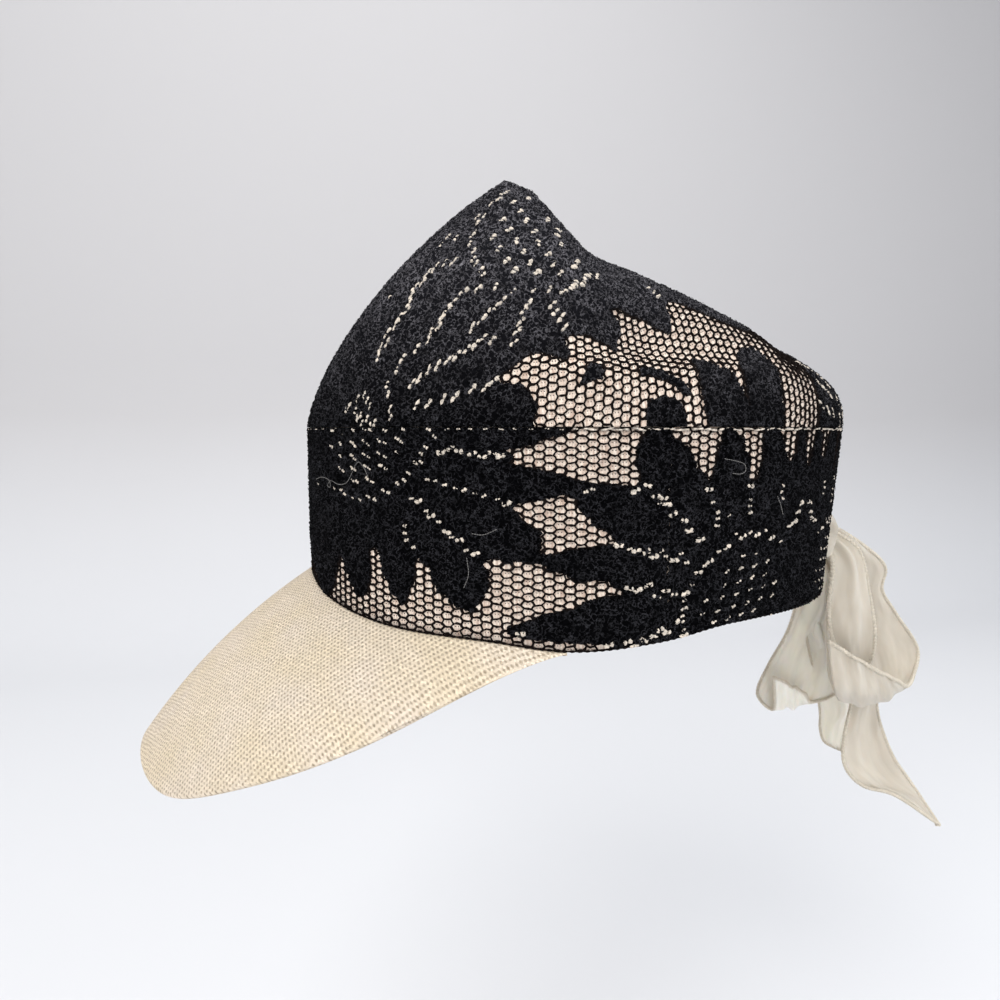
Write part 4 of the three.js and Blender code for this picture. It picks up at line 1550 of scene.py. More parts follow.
@dataclass(frozen=True)
class ChiffonFinish(Finish):
    """Ivory cloth so thin that what lies behind it shows, fuller in its creases."""
    roughness: float = 0.75
    sheen: float = 0.3
    cloth: Colour = (0.62, 0.555, 0.455, 1)
    crease: Colour = (0.71, 0.655, 0.56, 1)
    fold_scale: Point = (0.10, 0.03, 1.0)
    fold_range: Span = (0.3, 0.7)
    fold_depth: float = 0.0015
    cover: Span = (0.72, 0.92)
    pitch: float = 0.35
    wander: float = 0.15
    weave_depth: float = 0.00004
    glow: float = 0.35
    glow_reach: Point = (0.010, 0.008, 0.006)

    def make(self) -> Material:
        """The material.

        Returns:
            The material.
        """
        material, desk, shader = self.begin()
        flat = desk.flat()
        folds = desk.ranged(desk.noise(desk.scaled(flat, self.fold_scale), 1.0, 2.0), self.fold_range)
        desk.feed(shader["Base Color"], desk.mix(folds, self.cloth, self.crease))
        desk.feed(shader["Alpha"], desk.ranged(folds, (0.0, 1.0), self.cover))
        weave = desk.group("plain_weave", Vector=flat, Pitch=self.pitch, Wander=self.wander)
        fine = desk.bump(weave["Height"], self.weave_depth)
        desk.feed(shader["Normal"], desk.bump(folds, self.fold_depth, Normal=fine))
        desk.feed(shader["Subsurface Weight"], self.glow)
        desk.feed(shader["Subsurface Radius"], self.glow_reach)
        return material


@dataclass(frozen=True)
class CordFinish(Finish):
    """Twisted yarn of one shade, for rolled hems, flecks and loose threads."""
    yarn: Colour = (0.90, 0.84, 0.72, 1)
    shaded: Colour = (0.70, 0.63, 0.52, 1)
    scale: float = 700.0
    depth: float = 0.0003

    def make(self) -> Material:
        """The material.

        Returns:
            The material.
        """
        material, desk, shader = self.begin()
        grain = desk.group("crepe_grain", Vector=desk.place(), Scale=self.scale)
        desk.feed(shader["Base Color"], desk.mix(grain["Shade"], self.shaded, self.yarn))
        desk.feed(shader["Normal"], desk.bump(grain["Height"], self.depth))
        return material


class Cord(NamedTuple):
    """A cord that is thicker and thinner in even beads."""
    radius: float
    bead: float = 0.16
    pitch: float = 1.5
    sides: int = 8
    least_rings: int = 8
    rings_a_bead: int = 4
    end_share: float = 0.1

    def along(self, line: Array) -> Grid:
        """The closed mesh of the cord along a line.

        Args:
            line: The points that it follows.

        Returns:
            The mesh.
        """
        lengths = arc_lengths(line)
        count = max(self.least_rings, int(lengths[-1] / (self.pitch / self.rings_a_bead)))
        even = np.linspace(0, lengths[-1], count)
        path = np.stack([np.interp(even, lengths, line[:, k]) for k in range(3)], axis=-1)
        ways = unit(np.gradient(path, axis=0))
        first = unit(np.cross(ways, [0.3, 0.2, 1.0]))
        second = np.cross(ways, first)
        turn = circle(self.sides)[None, :, None]
        thick = self.radius + self.bead * np.sin(2 * np.pi * even / self.pitch)
        thick[[0, -1]] = self.radius * self.end_share
        round_ways = np.cos(turn) * first[:, None] + np.sin(turn) * second[:, None]
        rings = path[:, None] + thick[:, None, None] * round_ways
        return Grid(rings.reshape(-1, 3), grid_faces(count, self.sides, closed_across=True)[:, ::-1])


@dataclass
class LacedCloth:
    """The crown and the band: a smooth ground cloth with the worked lace over it."""
    form: HatForm
    lace: Material
    ground: Material
    fleck: Material
    loose: Material
    ground_inset: float = 0.9
    wall: float = 2.3
    merge_within: float = 0.00001
    nothing_within: float = 0.000001
    round_steps: int = 240
    crown_steps: int = 48
    crown_crowding: float = 1.5
    crown_cells: int = 62
    crown_fold: float = 66.0
    crown_width: float = 0.27
    band_steps: int = 16
    band_fold: float = 205.0
    rim_cord: Cord = Cord(0.28, bead=0.12, pitch=2.2, sides=6)
    rim_steps: int = 900
    loose_cord: Cord = Cord(0.09, bead=0.05, pitch=0.8, sides=5)
    loose_steps: int = 8
    loose_height: float = 1.15

    def wall_piece(self, name: str, outer: Array, inner: Array, flat: Array, closed_top: bool) -> Piece:
        """A closed wall between two skins that run round the hat.

        Args:
            name: The piece's name.
            outer: Rows of points from the foot up on the outer skin.
            inner: The same on the inner skin.
            flat: The flat place of each point of one skin.
            closed_top: Whether each skin closes on its own ridge.

        Returns:
            The piece, dressed.
        """
        rows, across = outer.shape[:2]
        points = np.concatenate([outer.reshape(-1, 3), inner.reshape(-1, 3)])
        skin = grid_faces(rows, across, closed_across=True)
        around, onwards = np.arange(across), (np.arange(across) + 1) % across
        inwards = rows * across
        faces = [skin[:, ::-1], skin + inwards,
                 np.stack([around, inwards + around, inwards + onwards, onwards], -1)]
        if not closed_top:
            top = (rows - 1) * across
            faces.append(top + np.stack([around, onwards, inwards + onwards, inwards + around], -1))
        piece = make_piece(name, Grid(points, np.concatenate(faces)))
        lay_map(piece, np.concatenate([flat.reshape(-1, 2)] * 2))
        self.close_seams(piece)
        piece.data.materials.append(self.ground)
        return piece

    def close_seams(self, piece: Piece) -> None:
        """Merges the points of a piece that meet and turns all its faces outwards.

        Args:
            piece: The piece.
        """
        bpy.ops.object.select_all(action="DESELECT")
        bpy.context.view_layer.objects.active = piece
        piece.select_set(True)
        bpy.ops.object.mode_set(mode="EDIT")
        bpy.ops.mesh.select_all(action="SELECT")
        bpy.ops.mesh.remove_doubles(threshold=self.merge_within)
        bpy.ops.mesh.dissolve_degenerate(threshold=self.nothing_within)
        bpy.ops.mesh.select_all(action="SELECT")
        bpy.ops.mesh.normals_make_consistent(inside=False)
        bpy.ops.object.mode_set(mode="OBJECT")
        piece.select_set(False)

    @staticmethod
    def thread_piece(name: str, grid: Grid, yarn: Material, slot: str = "ground_cloth") -> Piece:
        """A piece of flecks or threads.

        Args:
            name: The piece's name.
            grid: Its mesh.
            yarn: What it is made of.
            slot: Not used.

        Returns:
            The piece, dressed.
        """
        piece = make_piece(name, grid)
        piece.data.materials.append(yarn)
        return piece

    def lace_piece(self, name: str, grid: Grid, fill: Array) -> Piece:
        """A piece of lace, with one for each point that is filled and nothing for the others."""
        piece = self.thread_piece(name, grid, self.lace, "black_lace")
        mark_points(piece, "fill", fill)
        return piece

    def worked_grid(self, maker: LaceMaker, middles: Array, kinds: Array) -> tuple[Grid, Array]:
        """The cells, thread knots and hairs of a stretch of lace.

        Args:
            maker: What works them.
            middles: The middles of the cells in columns and rows.
            kinds: The kind of each cell.

        Returns:
            Their mesh, and how filled each of its points is.
        """
        cells, filled = maker.worked(middles, kinds)
        knots = maker.thread_knots(middles, kinds)
        hairs = maker.hairs(middles, kinds)
        fill = np.r_[filled, np.zeros(len(knots.points)), np.ones(len(hairs.points))]
        return cells.with_more(knots).with_more(hairs), fill

    def rim_thread(self, surface: BandSurface) -> Grid:
        """The cast-off thread along the lower edge of the lace.

        Args:
            surface: The band's cloth.

        Returns:
            The mesh.
        """
        arc = np.linspace(-surface.half, surface.half, self.rim_steps)
        rim = self.form.rim_height(surface.angle_at(arc))
        flat = np.stack([arc, rim + self.rim_cord.radius / 2], -1)
        points, _, _ = surface.place(flat, self.ground_inset - self.rim_cord.radius)
        return self.rim_cord.along(points)

    def loose_threads(self, surface: BandSurface) -> Grid:
        """Pale threads that lie loose on the band, the same on both of its sides.

        Args:
            surface: The band's cloth.

        Returns:
            The mesh.
        """
        cords = []
        for thread in LOOSE_THREADS:
            flat = np.array(thread)
            keys = np.arange(len(flat), dtype=float)
            steps = np.linspace(0, keys[-1], self.loose_steps * len(flat))
            drawn = np.stack([read_smooth(keys, places, steps, False) for places in flat.T], -1)
            for side in (1, -1):
                points, _, _ = surface.place(drawn * [side, 1], self.ground_inset - self.loose_height)
                cords.append(self.loose_cord.along(points).in_threes())
        return functools.reduce(Grid.with_more, cords)

    def angles(self) -> Array:
        """Even degrees round the oval."""
        return np.arange(self.round_steps) * 360 / self.round_steps

    def build_band(self, surface: BandSurface) -> list[Piece]:
        """The band's ground cloth, its lace in a front and a back length, and its threads and flecks.

        Args:
            surface: The band's cloth, laid flat.

        Returns:
            The pieces.
        """
        angle = self.angles()
        level = np.linspace(0, 1, self.band_steps + 1)[:, None]
        rim = self.form.rim_height(angle)[None]
        height = rim + level * (self.form.seam_height - rim)
        turned = np.broadcast_to(angle, height.shape)
        outer, inner = (self.form.oval(turned, height, inset) for inset in (self.ground_inset, self.wall))
        arc = np.interp(self.form.side_angle(turned), surface.angles, surface.arcs)
        cloth = self.wall_piece("band_cloth", outer, inner, np.stack([arc, height], -1), False)
        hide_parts("band_lining")
        columns = 2 * round(surface.half / Net.width)
        net = Net(width=2 * surface.half / columns)
        maker = LaceMaker(surface, LaceChart(BAND_NETS, (), BAND_FLECKS, self.band_fold), net)
        rows = range(-4, int(self.form.seam_height / net.height) + 3)
        middles, kinds = maker.cells(range(-columns // 2, columns // 2), rows)
        front = np.abs(middles[:, 0]) <= columns / 4
        pieces = [self.lace_piece(name, *self.worked_grid(maker, middles[chosen], kinds[chosen]))
                  for name, chosen in (("band_lace_front", front), ("band_lace_back", ~front))]
        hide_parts("band_lace")
        thread = self.rim_thread(surface)
        pieces += [
            self.lace_piece("band_rim_thread", thread, np.zeros(len(thread.points))),
            self.thread_piece("band_flecks", maker.fleck_domes(), self.fleck),
            self.thread_piece("band_loose_threads", self.loose_threads(surface), self.loose),
        ]
        return [cloth, *pieces]

    def build_crown(self, surface: CrownSurface) -> list[Piece]:
        """The crown's ground cloth, its lace on the left and the right side, and its flecks.

        Args:
            surface: The left half of the crown's cloth, laid flat.

        Returns:
            The pieces.
        """
        level = np.linspace(0, 1, self.crown_steps + 1)[:, None] ** self.crown_crowding
        turned, raised = np.broadcast_arrays(self.angles()[None], level)
        outer, inner = (self.form.crown(turned, raised, inset) for inset in (self.ground_inset, self.wall))
        foot = slice(None, None, surface.levels)
        along = np.interp(self.form.side_angle(turned), surface.params[foot, 0], surface.flat[foot, 0])
        flat = np.stack([along, raised * surface.flat[:, 1].max()], -1)
        cloth = self.wall_piece("crown_cloth", outer, inner, flat, True)
        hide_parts("crown_lining")
        chart = CrownChart(CROWN_NETS, CROWN_ISLANDS, CROWN_FLECKS, self.crown_fold)
        maker = LaceMaker(surface, chart, CrownNet())
        right_maker = LaceMaker(surface.other_side(), chart, CrownNet())
        reach = range(-self.crown_cells, self.crown_cells)
        middles, kinds = maker.cells(reach, reach)
        left = self.lace_piece("crown_lace_left", *self.worked_grid(maker, middles, kinds))
        grid, fill = self.worked_grid(right_maker, middles, kinds)
        right = self.lace_piece("crown_lace_right", grid.turned(), fill)
        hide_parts("crown_lace")
        domes = maker.fleck_domes().with_more(right_maker.fleck_domes().turned())
        flecks = self.thread_piece("crown_flecks", domes, self.fleck)
        return [cloth, left, right, flecks]


@dataclass
class Peak:
    """The long drooping peak: a stiff cloth whose outer edge is turned and rolled."""
    form: HatForm
    finish: Material
    end_angle: float = 74.0
    tip_y: float = -160.5
    roundness: float = 0.75
    last_turn: float = 89.9
    thickness: float = 2.5
    thin_end: float = 0.25
    thin_reach: float = 14.0
    slope: tuple[float, float] = (-0.77, -0.64)
    swell: float = 0.05
    roll_in: float = 0.9
    gap: float = 0.3
    wall: float = 2.3
    steps: int = 200
    levels: int = 36
    edge_steps: int = 8

    def edge(self, turn: Array) -> Array:
        """The peak's outer edge.

        Args:
            turn: Places along it, from -90 to 90 degrees.

        Returns:
            The points.
        """
        end_height = self.form.rim_height(np.array(self.end_angle))
        end = self.form.oval(np.array(self.end_angle), end_height, 0.0)
        forwards = np.maximum(0, np.cos(np.radians(turn))) ** self.roundness
        return np.stack([
            end[0] * np.sin(np.radians(turn)),
            end[1] + (self.tip_y - end[1]) * forwards,
            read_smooth(column(PEAK_EDGE, "turn"), column(PEAK_EDGE, "height"), np.abs(turn), True),
        ], axis=-1)

    def turns(self) -> Array:
        """The turns of the rows, closer together towards both ends."""
        return self.last_turn * np.sin(np.linspace(np.pi / 2, -np.pi / 2, self.steps + 1))

    def top_rows(self) -> Array:
        """The upper face.

        Returns:
            Rows of points from under the foot of the band to the outer edge.
        """
        turn = self.turns()
        angle = self.end_angle * turn / 90
        height = self.form.rim_height(angle) - self.gap
        rim, edge = self.form.oval(angle, height, 0.0), self.edge(turn)
        level = np.linspace(0, 1, self.levels + 1)[None, :, None]
        reach = np.linalg.norm(edge - rim, axis=1)[:, None, None]
        swell = 4 * level * (1 - level) * self.swell * reach * math.sqrt(0.5)
        rows = rim[:, None] + (edge - rim)[:, None] * level + swell * np.array([0, -1, 1])
        return np.concatenate([self.form.oval(angle, height, self.wall)[:, None], rows], axis=1)

    def build(self) -> Piece:
        """The peak, dressed.

        Returns:
            The piece.
        """
        top = self.top_rows()
        normals = grid_normals(top)
        full = smooth_step(90 - np.abs(self.turns()), 0, self.thin_reach)[:, None]
        half = self.thickness / 2 * (self.thin_end + (1 - self.thin_end) * full)
        outwards = unit(top[:, -1] - top[:, -2])
        outwards = unit(outwards - (outwards * normals[:, -1]).sum(-1, keepdims=True) * normals[:, -1])
        top[:, -1] -= outwards * half * self.roll_in
        turn = np.linspace(0, np.pi, self.edge_steps + 2)[1:-1, None, None]
        centre = top[:, -1] - normals[:, -1] * half
        roll = np.moveaxis(centre + half * (np.cos(turn) * normals[:, -1] + np.sin(turn) * outwards), 0, 1)
        bottom = (top - normals * 2 * half[:, None])[:, ::-1]
        loop = np.concatenate([top, roll, bottom], axis=1)
        rows, across = loop.shape[:2]
        faces = [grid_faces(rows, across, closed_across=True), *self.end_caps(rows, across)]
        piece = make_piece("peak_cloth", Grid(loop.reshape(-1, 3), np.concatenate(faces)))
        lay_map(piece, self.flat_places(loop))
        piece.data.materials.append(self.finish)
        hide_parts("peak")
        width = 2 * float(np.interp(self.end_angle, *self.seam_table())) * MM
        return piece

    def seam_table(self) -> tuple[Array, Array]:
        """Angles, and the arc from the middle of the front to each."""
        angles = np.arange(91.0)
        return angles, arc_lengths(self.form.oval(angles, 0.0, 0.0))

    def flat_places(self, loop: Array) -> Array:
        """Flat places for the weave, whose threads run straight across the hat and down the peak."""
        down = loop[..., 1:] @ np.array(self.slope)
        return np.stack([down, loop[..., 0]], -1).reshape(-1, 2)

    @staticmethod
    def end_caps(rows: int, across: int) -> tuple[Array, Array]:
        """Quads that close the two ends of the peak.

        Args:
            rows: How many rows of points there are from end to end.
            across: How many points a row holds, over the peak and back under it.

        Returns:
            The quads of the first end and of the last.
        """
        upper = np.arange(across // 2 - 1)
        lower = across - 1 - upper
        first = np.stack([upper, upper + 1, lower - 1, lower], -1)
        return first, first[:, ::-1] + (rows - 1) * across


LOOP_LEFT = (
    Line(0, 111, 19, -2, 1.5, 3, 0, 0), Line(-1, 119.5, 15.5, -2, 3.5, 3.5, 0, 1),
    Line(-3.5, 129.5, 3, -3.5, 13, 5, 0, -2), Line(-6, 135, -6, -4, 17.5, 5.5, 0, -3),
    Line(-8, 136, -16, -4, 17, 5, 0, -4), Line(-9.5, 141.5, -28, -3.5, 20.5, 5, 1, -5),
    Line(-9.5, 148.5, -43.5, -3.5, 26, 3.5, 4, -5), Line(-2.5, 144.5, -53, -3.5, 22, 2.5, 7, -1),
    Line(8.5, 132.5, -47.5, -3.5, 21, -3, 4, 3), Line(14, 124, -34.5, -2, 19, -10.5, 1, 3),
)
INNER_FOLD = (
    Line(7, 109.5, 19, 0, 1.5, 2, 0, 0), Line(9, 117, 9, 0, 6, 3, 0, 2), Line(8, 120, -8.5, 1, 8.5, 3, 0, 3),
    Line(6, 124.5, -24.5, 1, 9.5, 1, 0, 1), Line(3.5, 128.5, -35.5, 0.5, 7.5, -0.5, 1, 0),
    Line(2, 130, -42, 0, 4, 0.5, 1, 0),
)
LOOP_RIGHT = (
    Line(-9, 107, 17, 0.5, 2.5, 0.5, 0, 0), Line(-15.5, 123.5, 4.5, 0.5, 9, 0.5, 0, 1),
    Line(-23, 129, -17, 1, 12, 0, 0, 2), Line(-27.5, 130, -34, 0.5, 15, -1, 0, -2),
    Line(-29, 127, -50, 1, 19.5, -1.5, 1, -3), Line(-28, 122, -63, 1, 20.5, -1, 2, -2),
    Line(-26, 118.5, -68, 0, 10, 1, 1, 0), Line(-18.5, 111.5, -55, -1, 9, -5, 0, 1),
)
TAIL_SHORT = (
    Line(-13, 104.5, 12, 0.5, 2.5, 0, 0, 0), Line(-17, 113, 2, 0.5, 4, 0, 0, 0),
    Line(-27, 128, -24.5, 0, 6, -0.5, 0, 0), Line(-32, 141, -52, 0, 8.5, -0.5, 0, 0),
    Line(-32.5, 149, -73, 0, 11, 1, 0, 1), Line(-32.5, 147.5, -83, 0, 9, 0, 0, 0),
    Line(-32, 146.5, -90, 0, 6, 0, 1, 0), Line(-31.5, 148, -94.5, 0, 2, -1, 0, 0),
)
TAIL_LONG = (
    Line(-3, 111, 13.5, 0, 1.5, 1, 0, 0), Line(-8, 124, 3, 0, 3.5, 1, 0, 0),
    Line(-17.5, 141.5, -25, 0, 6, 1, 0, -1), Line(-18.5, 146.5, -50.5, 0, 6, 0, 0, 1),
    Line(-16.5, 149, -62, 0, 6, 0.5, 0, 1.5), Line(-14, 147.5, -77.5, -1, 10, 2, 0, -1),
    Line(-11, 149.5, -91.5, -1, 13.5, 0.5, 1, -2), Line(-9, 157, -101.5, -1, 13, 0, 1.5, -1),
    Line(-7, 168.5, -109.5, -1, 8.5, -2.5, 0, 0), Line(-5.5, 184, -123.5, -0.5, 1.6, -1.3, 0, 0),
)


@dataclass
class Drape:
    """One hanging sheet of the scarf, with small folds that run out of the knot and a rolled hem."""
    name: str
    lines: tuple[Line, ...]
    folds: float = 2.5
    fold_depth: float = 0.9
    fold_shift: float = 0.0
    fold_drift: float = 0.35
    fine_folds: float = 1.7
    fine_share: float = 0.5
    fine_shift: float = 0.3
    fine_drift: float = 0.6
    top_swing: float = 1.1
    swing_lost: float = 0.6
    side_swing: float = 0.35
    swing_from: float = 0.08
    thickness: float = 0.5
    steps: int = 120
    across: int = 40
    hem: Cord = Cord(0.55)
    # Whether the sheet lies in shade under the hat and takes the chiffon painted lighter: painted light
    shaded: bool = False
    folded_side: bool = False

    def rows(self) -> Array:
        """The middle of the sheet, folds included.

        Returns:
            Points along and across it.
        """
        place = np.linspace(0, len(self.lines) - 1, self.steps + 1)
        keys = np.arange(len(self.lines), dtype=float)
        line = {name: read_smooth(keys, column(self.lines, name), place, False)[:, None]
                for name in Line._fields}
        side = np.linspace(-1, 1, self.across + 1)[None]
        middle = 1 - side**2
        rows = np.stack([
            line["x"] + side * line["half_x"] + middle * line["swell"],
            line["y"] + side * line["half_y"],
            line["z"] + side * line["half_z"] - middle * line["sag"],
        ], axis=-1)
        share = np.linspace(0, 1, self.steps + 1)[:, None]
        broad = self.folds * side / 2 + self.fold_shift + self.fold_drift * share
        fine = self.folds * self.fine_folds * side / 2 - self.fine_drift * share + self.fine_shift
        wave = np.sin(2 * np.pi * broad) + self.fine_share * np.sin(2 * np.pi * fine)
        swing = self.fold_depth * (self.top_swing - self.swing_lost * share)
        swing = swing * (self.side_swing + (1 - self.side_swing) * middle)
        swing = swing * smooth_step(share, 0, self.swing_from)
        return rows + grid_normals(rows) * (wave * swing)[..., None]

    def hem_line(self, rows: Array) -> Array:
        """The free edge of the sheet: down one side unless that is a fold, across and up the other."""
        first = rows[-1:, 0] if self.folded_side else rows[:, 0]
        return np.concatenate([first, rows[-1, 1:-1], rows[::-1, -1]])

    def build(self, cloth: Material, hem: Material) -> Piece:
        """The sheet and its hem as one piece, dressed.

        Args:
            cloth: What the sheet is made of.
            hem: What the rolled hem is made of.

        Returns:
            The piece.
        """
        rows = self.rows()
        half = grid_normals(rows) * self.thickness / 2
        down, across = rows.shape[:2]
        points = np.concatenate([(rows + half).reshape(-1, 3), (rows - half).reshape(-1, 3)])
        skin = grid_faces(down, across)
        back = down * across
        index = np.arange(back).reshape(down, across)
        rim = np.concatenate([index[:, 0], index[-1, 1:], index[::-1, -1][1:], index[0, ::-1][1:]])
        walls = np.stack([rim[:-1], rim[:-1] + back, rim[1:] + back, rim[1:]], -1)
        sheet = Grid(points, np.concatenate([skin, skin[:, ::-1] + back, walls]))
        cord = self.hem.along(self.hem_line(rows))
        piece = make_piece(self.name, sheet.with_more(cord))
        lengths = arc_lengths(rows[:, across // 2])
        widths = np.linalg.norm(np.diff(rows, axis=1), axis=2).sum(axis=1)
        side = np.linspace(-0.5, 0.5, across)[None] * widths[:, None]
        flat = np.stack([side, np.broadcast_to(lengths[:, None], side.shape)], -1).reshape(-1, 2)
        lay_map(piece, np.concatenate([flat, flat, np.zeros((len(cord.points), 2))]))
        piece.data.materials.append(cloth)
        piece.data.materials.append(hem)
        shade = np.zeros(len(piece.data.polygons), np.int32)
        shade[-len(cord.faces):] = 1
        piece.data.polygons.foreach_set("material_index", shade)
        self.size = (float(widths.mean()) * MM, float(lengths[-1]) * MM)
        return piece


@dataclass
class Scarf:
    """The bow at the back: a knot, two loops, an inner fold and two tails."""
    form: HatForm
    cloth: Material
    # The chiffon painted lighter, painted light for the sheets in shade under the hat
    painted_light_cloth: Material
    hem: Material
    knot_y: float = 106.5
    knot_z: float = 19.0
    half_x: float = 13.0
    half_y: float = 9.2
    half_z: float = 13.0
    knot_rounds: int = 96
    knot_rings: int = 48
    fold_depth: float = 0.16
    folds: int = 5
    fold_twist: float = 1.5
    fine_depth: float = 0.04
    fine_folds: int = 11
    fine_twist: float = 3.0
    seat_gap: float = 0.3
    knot_fill: float = 0.8
    drapes: tuple[Drape, ...] = field(default_factory=lambda: (
        Drape("scarf_loop_left_cloth", LOOP_LEFT, folds=3.0, fold_depth=0.9, hem=Cord(0.8, bead=0.2),
              folded_side=True),
        Drape("scarf_inner_fold_cloth", INNER_FOLD, folds=1.5, fold_depth=0.8, fold_shift=0.2,
              hem=Cord(0.8, bead=0.2)),
        Drape("scarf_loop_right_cloth", LOOP_RIGHT, folds=2.5, fold_depth=1.2, fold_shift=0.4,
              hem=Cord(0.7), shaded=True),
        Drape("scarf_tail_short_cloth", TAIL_SHORT, folds=1.5, fold_depth=0.8, fold_shift=0.1,
              hem=Cord(0.6), shaded=True),
        Drape("scarf_tail_long_cloth", TAIL_LONG, folds=1.5, fold_depth=0.8, fold_shift=0.3,
              hem=Cord(0.75, bead=0.18)),
    ))

    def build_knot(self) -> Piece:
        """The knot: a rounded lump with pinched folds round it, flat where it lies on the band.

        Returns:
            The piece, dressed.
        """
        bpy.ops.object.select_all(action="DESELECT")
        bpy.ops.mesh.primitive_uv_sphere_add(
            segments=self.knot_rounds, ring_count=self.knot_rings, radius=1.0, location=(0, 0, 0))
        knot = bpy.context.active_object
        knot.name = "scarf_knot_cloth"
        ball = np.array([vertex.co[:] for vertex in knot.data.vertices])
        turn = np.arctan2(ball[:, 2], ball[:, 0])
        ring = 1 - ball[:, 1] ** 2
        pinch = 0.5 + 0.5 * np.cos(self.folds * turn + self.fold_twist * ball[:, 1])
        fold = 1 - self.fold_depth * pinch * ring
        fold -= self.fine_depth * np.sin(self.fine_folds * turn + self.fine_twist * ball[:, 1]) * ring
        z = self.knot_z + ball[:, 2] * self.half_z * fold
        seat = self.form.oval(np.full(len(z), 180.0), z, 0.0)[:, 1] + self.seat_gap
        y = np.maximum(self.knot_y + ball[:, 1] * self.half_y, seat)
        shaped = np.stack([ball[:, 0] * self.half_x * fold, y, z], -1) * MM
        knot.data.vertices.foreach_set("co", shaped.ravel())
        knot.data.shade_smooth()
        for layer in list(knot.data.uv_layers):
            knot.data.uv_layers.remove(layer)
        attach(knot, BODY)
        lay_map(knot, np.stack([turn * self.half_x, ball[:, 1] * 2 * self.half_y], -1))
        knot.data.materials.append(self.cloth)
        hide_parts("scarf_knot")
        knot.select_set(False)
        return knot

    def build(self) -> list[Piece]:
        """The knot and all of the sheets.

        Returns:
            The pieces.
        """
        knot = self.build_knot()
        pieces = [knot]
        for drape in self.drapes:
            # Sheets in shade take the chiffon painted lighter: painted light
            piece = drape.build(self.painted_light_cloth if drape.shaded else self.cloth, self.hem)
            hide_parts(drape.name.removesuffix("_cloth"))
            pieces.append(piece)
        return pieces


class Lamp(NamedTuple):
    """A square soft light that faces the hat, its place and size in metres."""
    name: str
    place: Point
    size: float
    power: float
    tint: Point


LAMPS = (
    Lamp("key_light", (1.1, -0.9, 1.3), 1.2, 26, (1.0, 0.98, 0.95)),
    Lamp("fill_light", (0.9, 1.2, 0.6), 1.4, 12, (0.96, 0.98, 1.0)),
    Lamp("top_light", (-0.3, 0.0, 1.8), 1.5, 16, (1.0, 1.0, 1.0)),
    Lamp("low_light", (0.95, -0.3, -0.5), 0.8, 8, (1.0, 0.99, 0.97)),
)


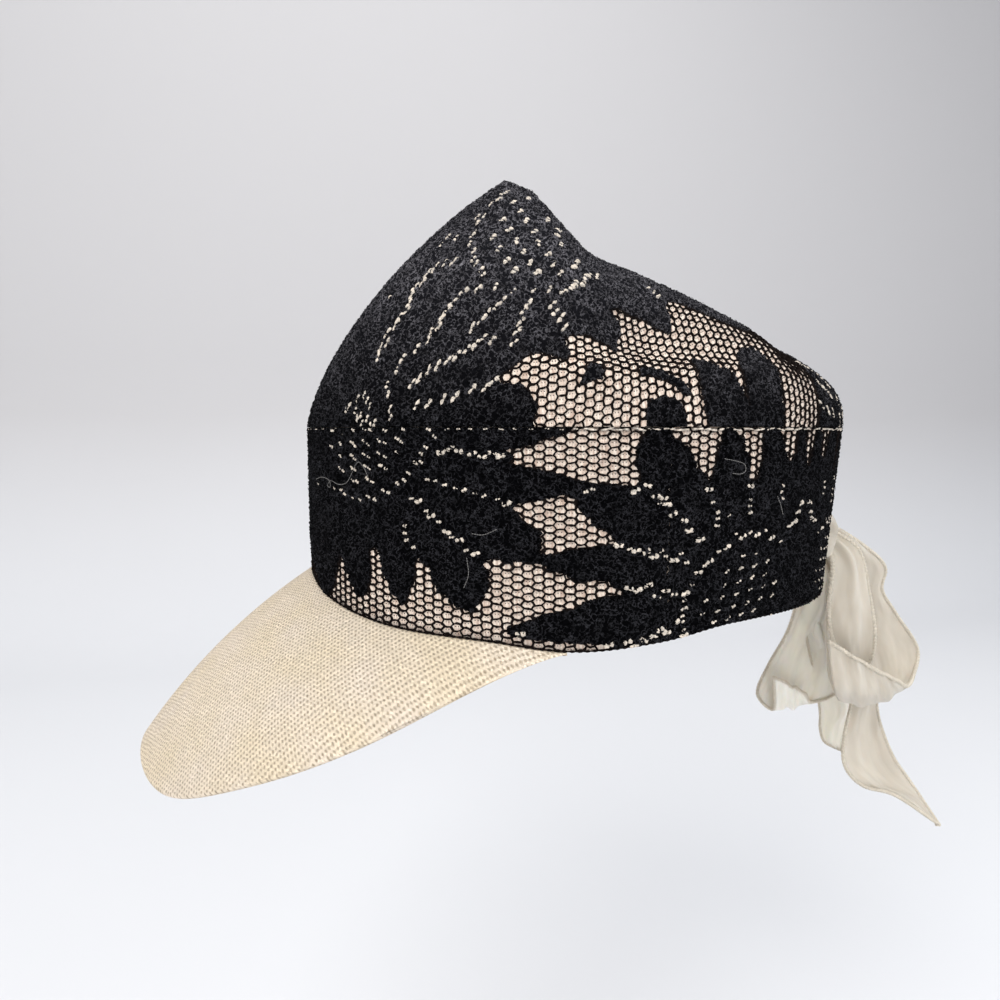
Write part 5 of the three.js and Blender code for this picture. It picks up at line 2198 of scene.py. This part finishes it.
@dataclass(frozen=True)
class Studio:
    """The pale floor and backdrop, the soft lights and the camera."""
    eye: Point = (282.09, -91.66, 63.0)
    look: Point = (-0.9722, 0.2139, -0.0948)
    lens: float = 27.04
    sensor: float = 36.0
    seen: Span = (0.01, 20.0)
    floor_height: float = -300.0
    floor_half: float = 3000.0
    backdrop_at: float = -900.0
    backdrop_turn: float = 500.0
    turn_steps: int = 13
    surround: Colour = (0.93, 0.95, 1.0, 1)
    surround_power: float = 0.55

    def build_camera(self) -> None:
        """The camera at the viewing point, looking a little down across the wearer's left side."""
        camera = bpy.data.objects.new("camera", bpy.data.cameras.new("camera"))
        bpy.context.collection.objects.link(camera)
        camera.location = Vector(self.eye) * MM
        camera.rotation_euler = Vector(self.look).to_track_quat("-Z", "Y").to_euler()
        camera.data.lens = self.lens
        camera.data.sensor_width = self.sensor
        camera.data.clip_start, camera.data.clip_end = self.seen
        bpy.context.scene.camera = camera

    def build_stage(self) -> None:
        """A floor that turns up into a backdrop."""
        half, turn, low = self.floor_half, self.backdrop_turn, self.floor_height
        bend = np.linspace(0, np.pi / 2, self.turn_steps)
        x = np.r_[half, self.backdrop_at - turn * np.sin(bend), self.backdrop_at - turn]
        z = np.r_[low, low + turn * (1 - np.cos(bend)), low + half]
        rows = np.stack([np.stack([x, np.full_like(x, y), z], -1) for y in (-half, half)])
        stage = bpy.data.objects.new("stage", bpy.data.meshes.new("stage"))
        stage.data.from_pydata((rows.reshape(-1, 3) * MM).tolist(), [], grid_faces(2, len(x)).tolist())
        stage.data.shade_smooth()
        bpy.context.collection.objects.link(stage)
        stage.data.materials.append(StageFinish("stage_paper").make())

    def build_lights(self) -> None:
        """The soft lights and a pale surround."""
        for lamp in LAMPS:
            light = bpy.data.lights.new(lamp.name, "AREA")
            light.size, light.energy, light.color = lamp.size, lamp.power, lamp.tint
            made = bpy.data.objects.new(lamp.name, light)
            bpy.context.collection.objects.link(made)
            made.location = lamp.place
            made.rotation_euler = (-Vector(lamp.place)).to_track_quat("-Z", "Y").to_euler()
        world = bpy.data.worlds.new("surround")
        world.use_nodes = True
        background = world.node_tree.nodes["Background"]
        background.inputs["Color"].default_value = self.surround
        background.inputs["Strength"].default_value = self.surround_power
        bpy.context.scene.world = world
        bpy.context.scene.view_settings.view_transform = "Standard"


@dataclass(frozen=True)
class StageFinish(Finish):
    """Pale paper, hardly mottled, with painted shade: darker up the backdrop and lighter towards the floor.
    """
    roughness: float = 1.0
    # Painted light and shade: the floor colour is lighter and the paper colour darker up the backdrop
    floor: Colour = (0.74, 0.75, 0.77, 1)
    paper: Colour = (0.58, 0.57, 0.575, 1)
    floor_range: Span = (0.15, -0.3)
    mottle_scale: float = 1.5
    mottle: float = 0.1

    def make(self) -> Material:
        """The material.

        Returns:
            The material.
        """
        material, desk, shader = self.begin()
        place = desk.place()
        mottle = desk.math("MULTIPLY", desk.noise(place, self.mottle_scale), self.mottle)
        level = desk.math("ADD", desk.parts(place)[2], mottle)
        share = desk.ranged(level, self.floor_range)
        desk.feed(shader["Base Color"], desk.mix(share, self.paper, self.floor))
        return material


def report(pieces: Sequence[Piece]) -> None:
    """Logs the name and the faces of each piece."""
    for piece in pieces:
        log.info("%s: %d faces", piece.name, len(piece.data.polygons))


def main() -> None:
    """Builds the hat, sub-assembly by sub-assembly, and its studio."""
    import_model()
    studio = Studio()
    studio.build_camera()
    studio.build_stage()
    studio.build_lights()
    PlainWeave().make()
    CrepeGrain().make()
    form = HatForm()
    pale = CordFinish("pale_thread", yarn=(0.94, 0.87, 0.77, 1), shaded=(0.74, 0.65, 0.55, 1), depth=0.0004)
    grey = CordFinish("loose_thread", yarn=(0.30, 0.29, 0.28, 1), shaded=(0.17, 0.165, 0.16, 1), depth=0.0001)
    lace, ground = LaceFinish("black_lace").make(), GroundFinish("ground_cloth").make()
    laced = LacedCloth(form, lace, ground, pale.make(), grey.make())
    report(laced.build_crown(CrownSurface(form)))
    report(laced.build_band(BandSurface(form)))
    report([Peak(form, PeakFinish("peak_cloth").make()).build()])
    # A lighter copy of the chiffon, painted light for the sheets in shade under the hat
    painted_light_chiffon = ChiffonFinish("chiffon_painted_light", cloth=(0.95, 0.89, 0.77, 1), crease=(1.0, 0.96, 0.88, 1))
    hem = CordFinish("rolled_hem").make()
    report(Scarf(form, ChiffonFinish("chiffon").make(), painted_light_chiffon.make(), hem).build())


if __name__ == "__main__":
    logging.basicConfig(level=logging.INFO)
    main()
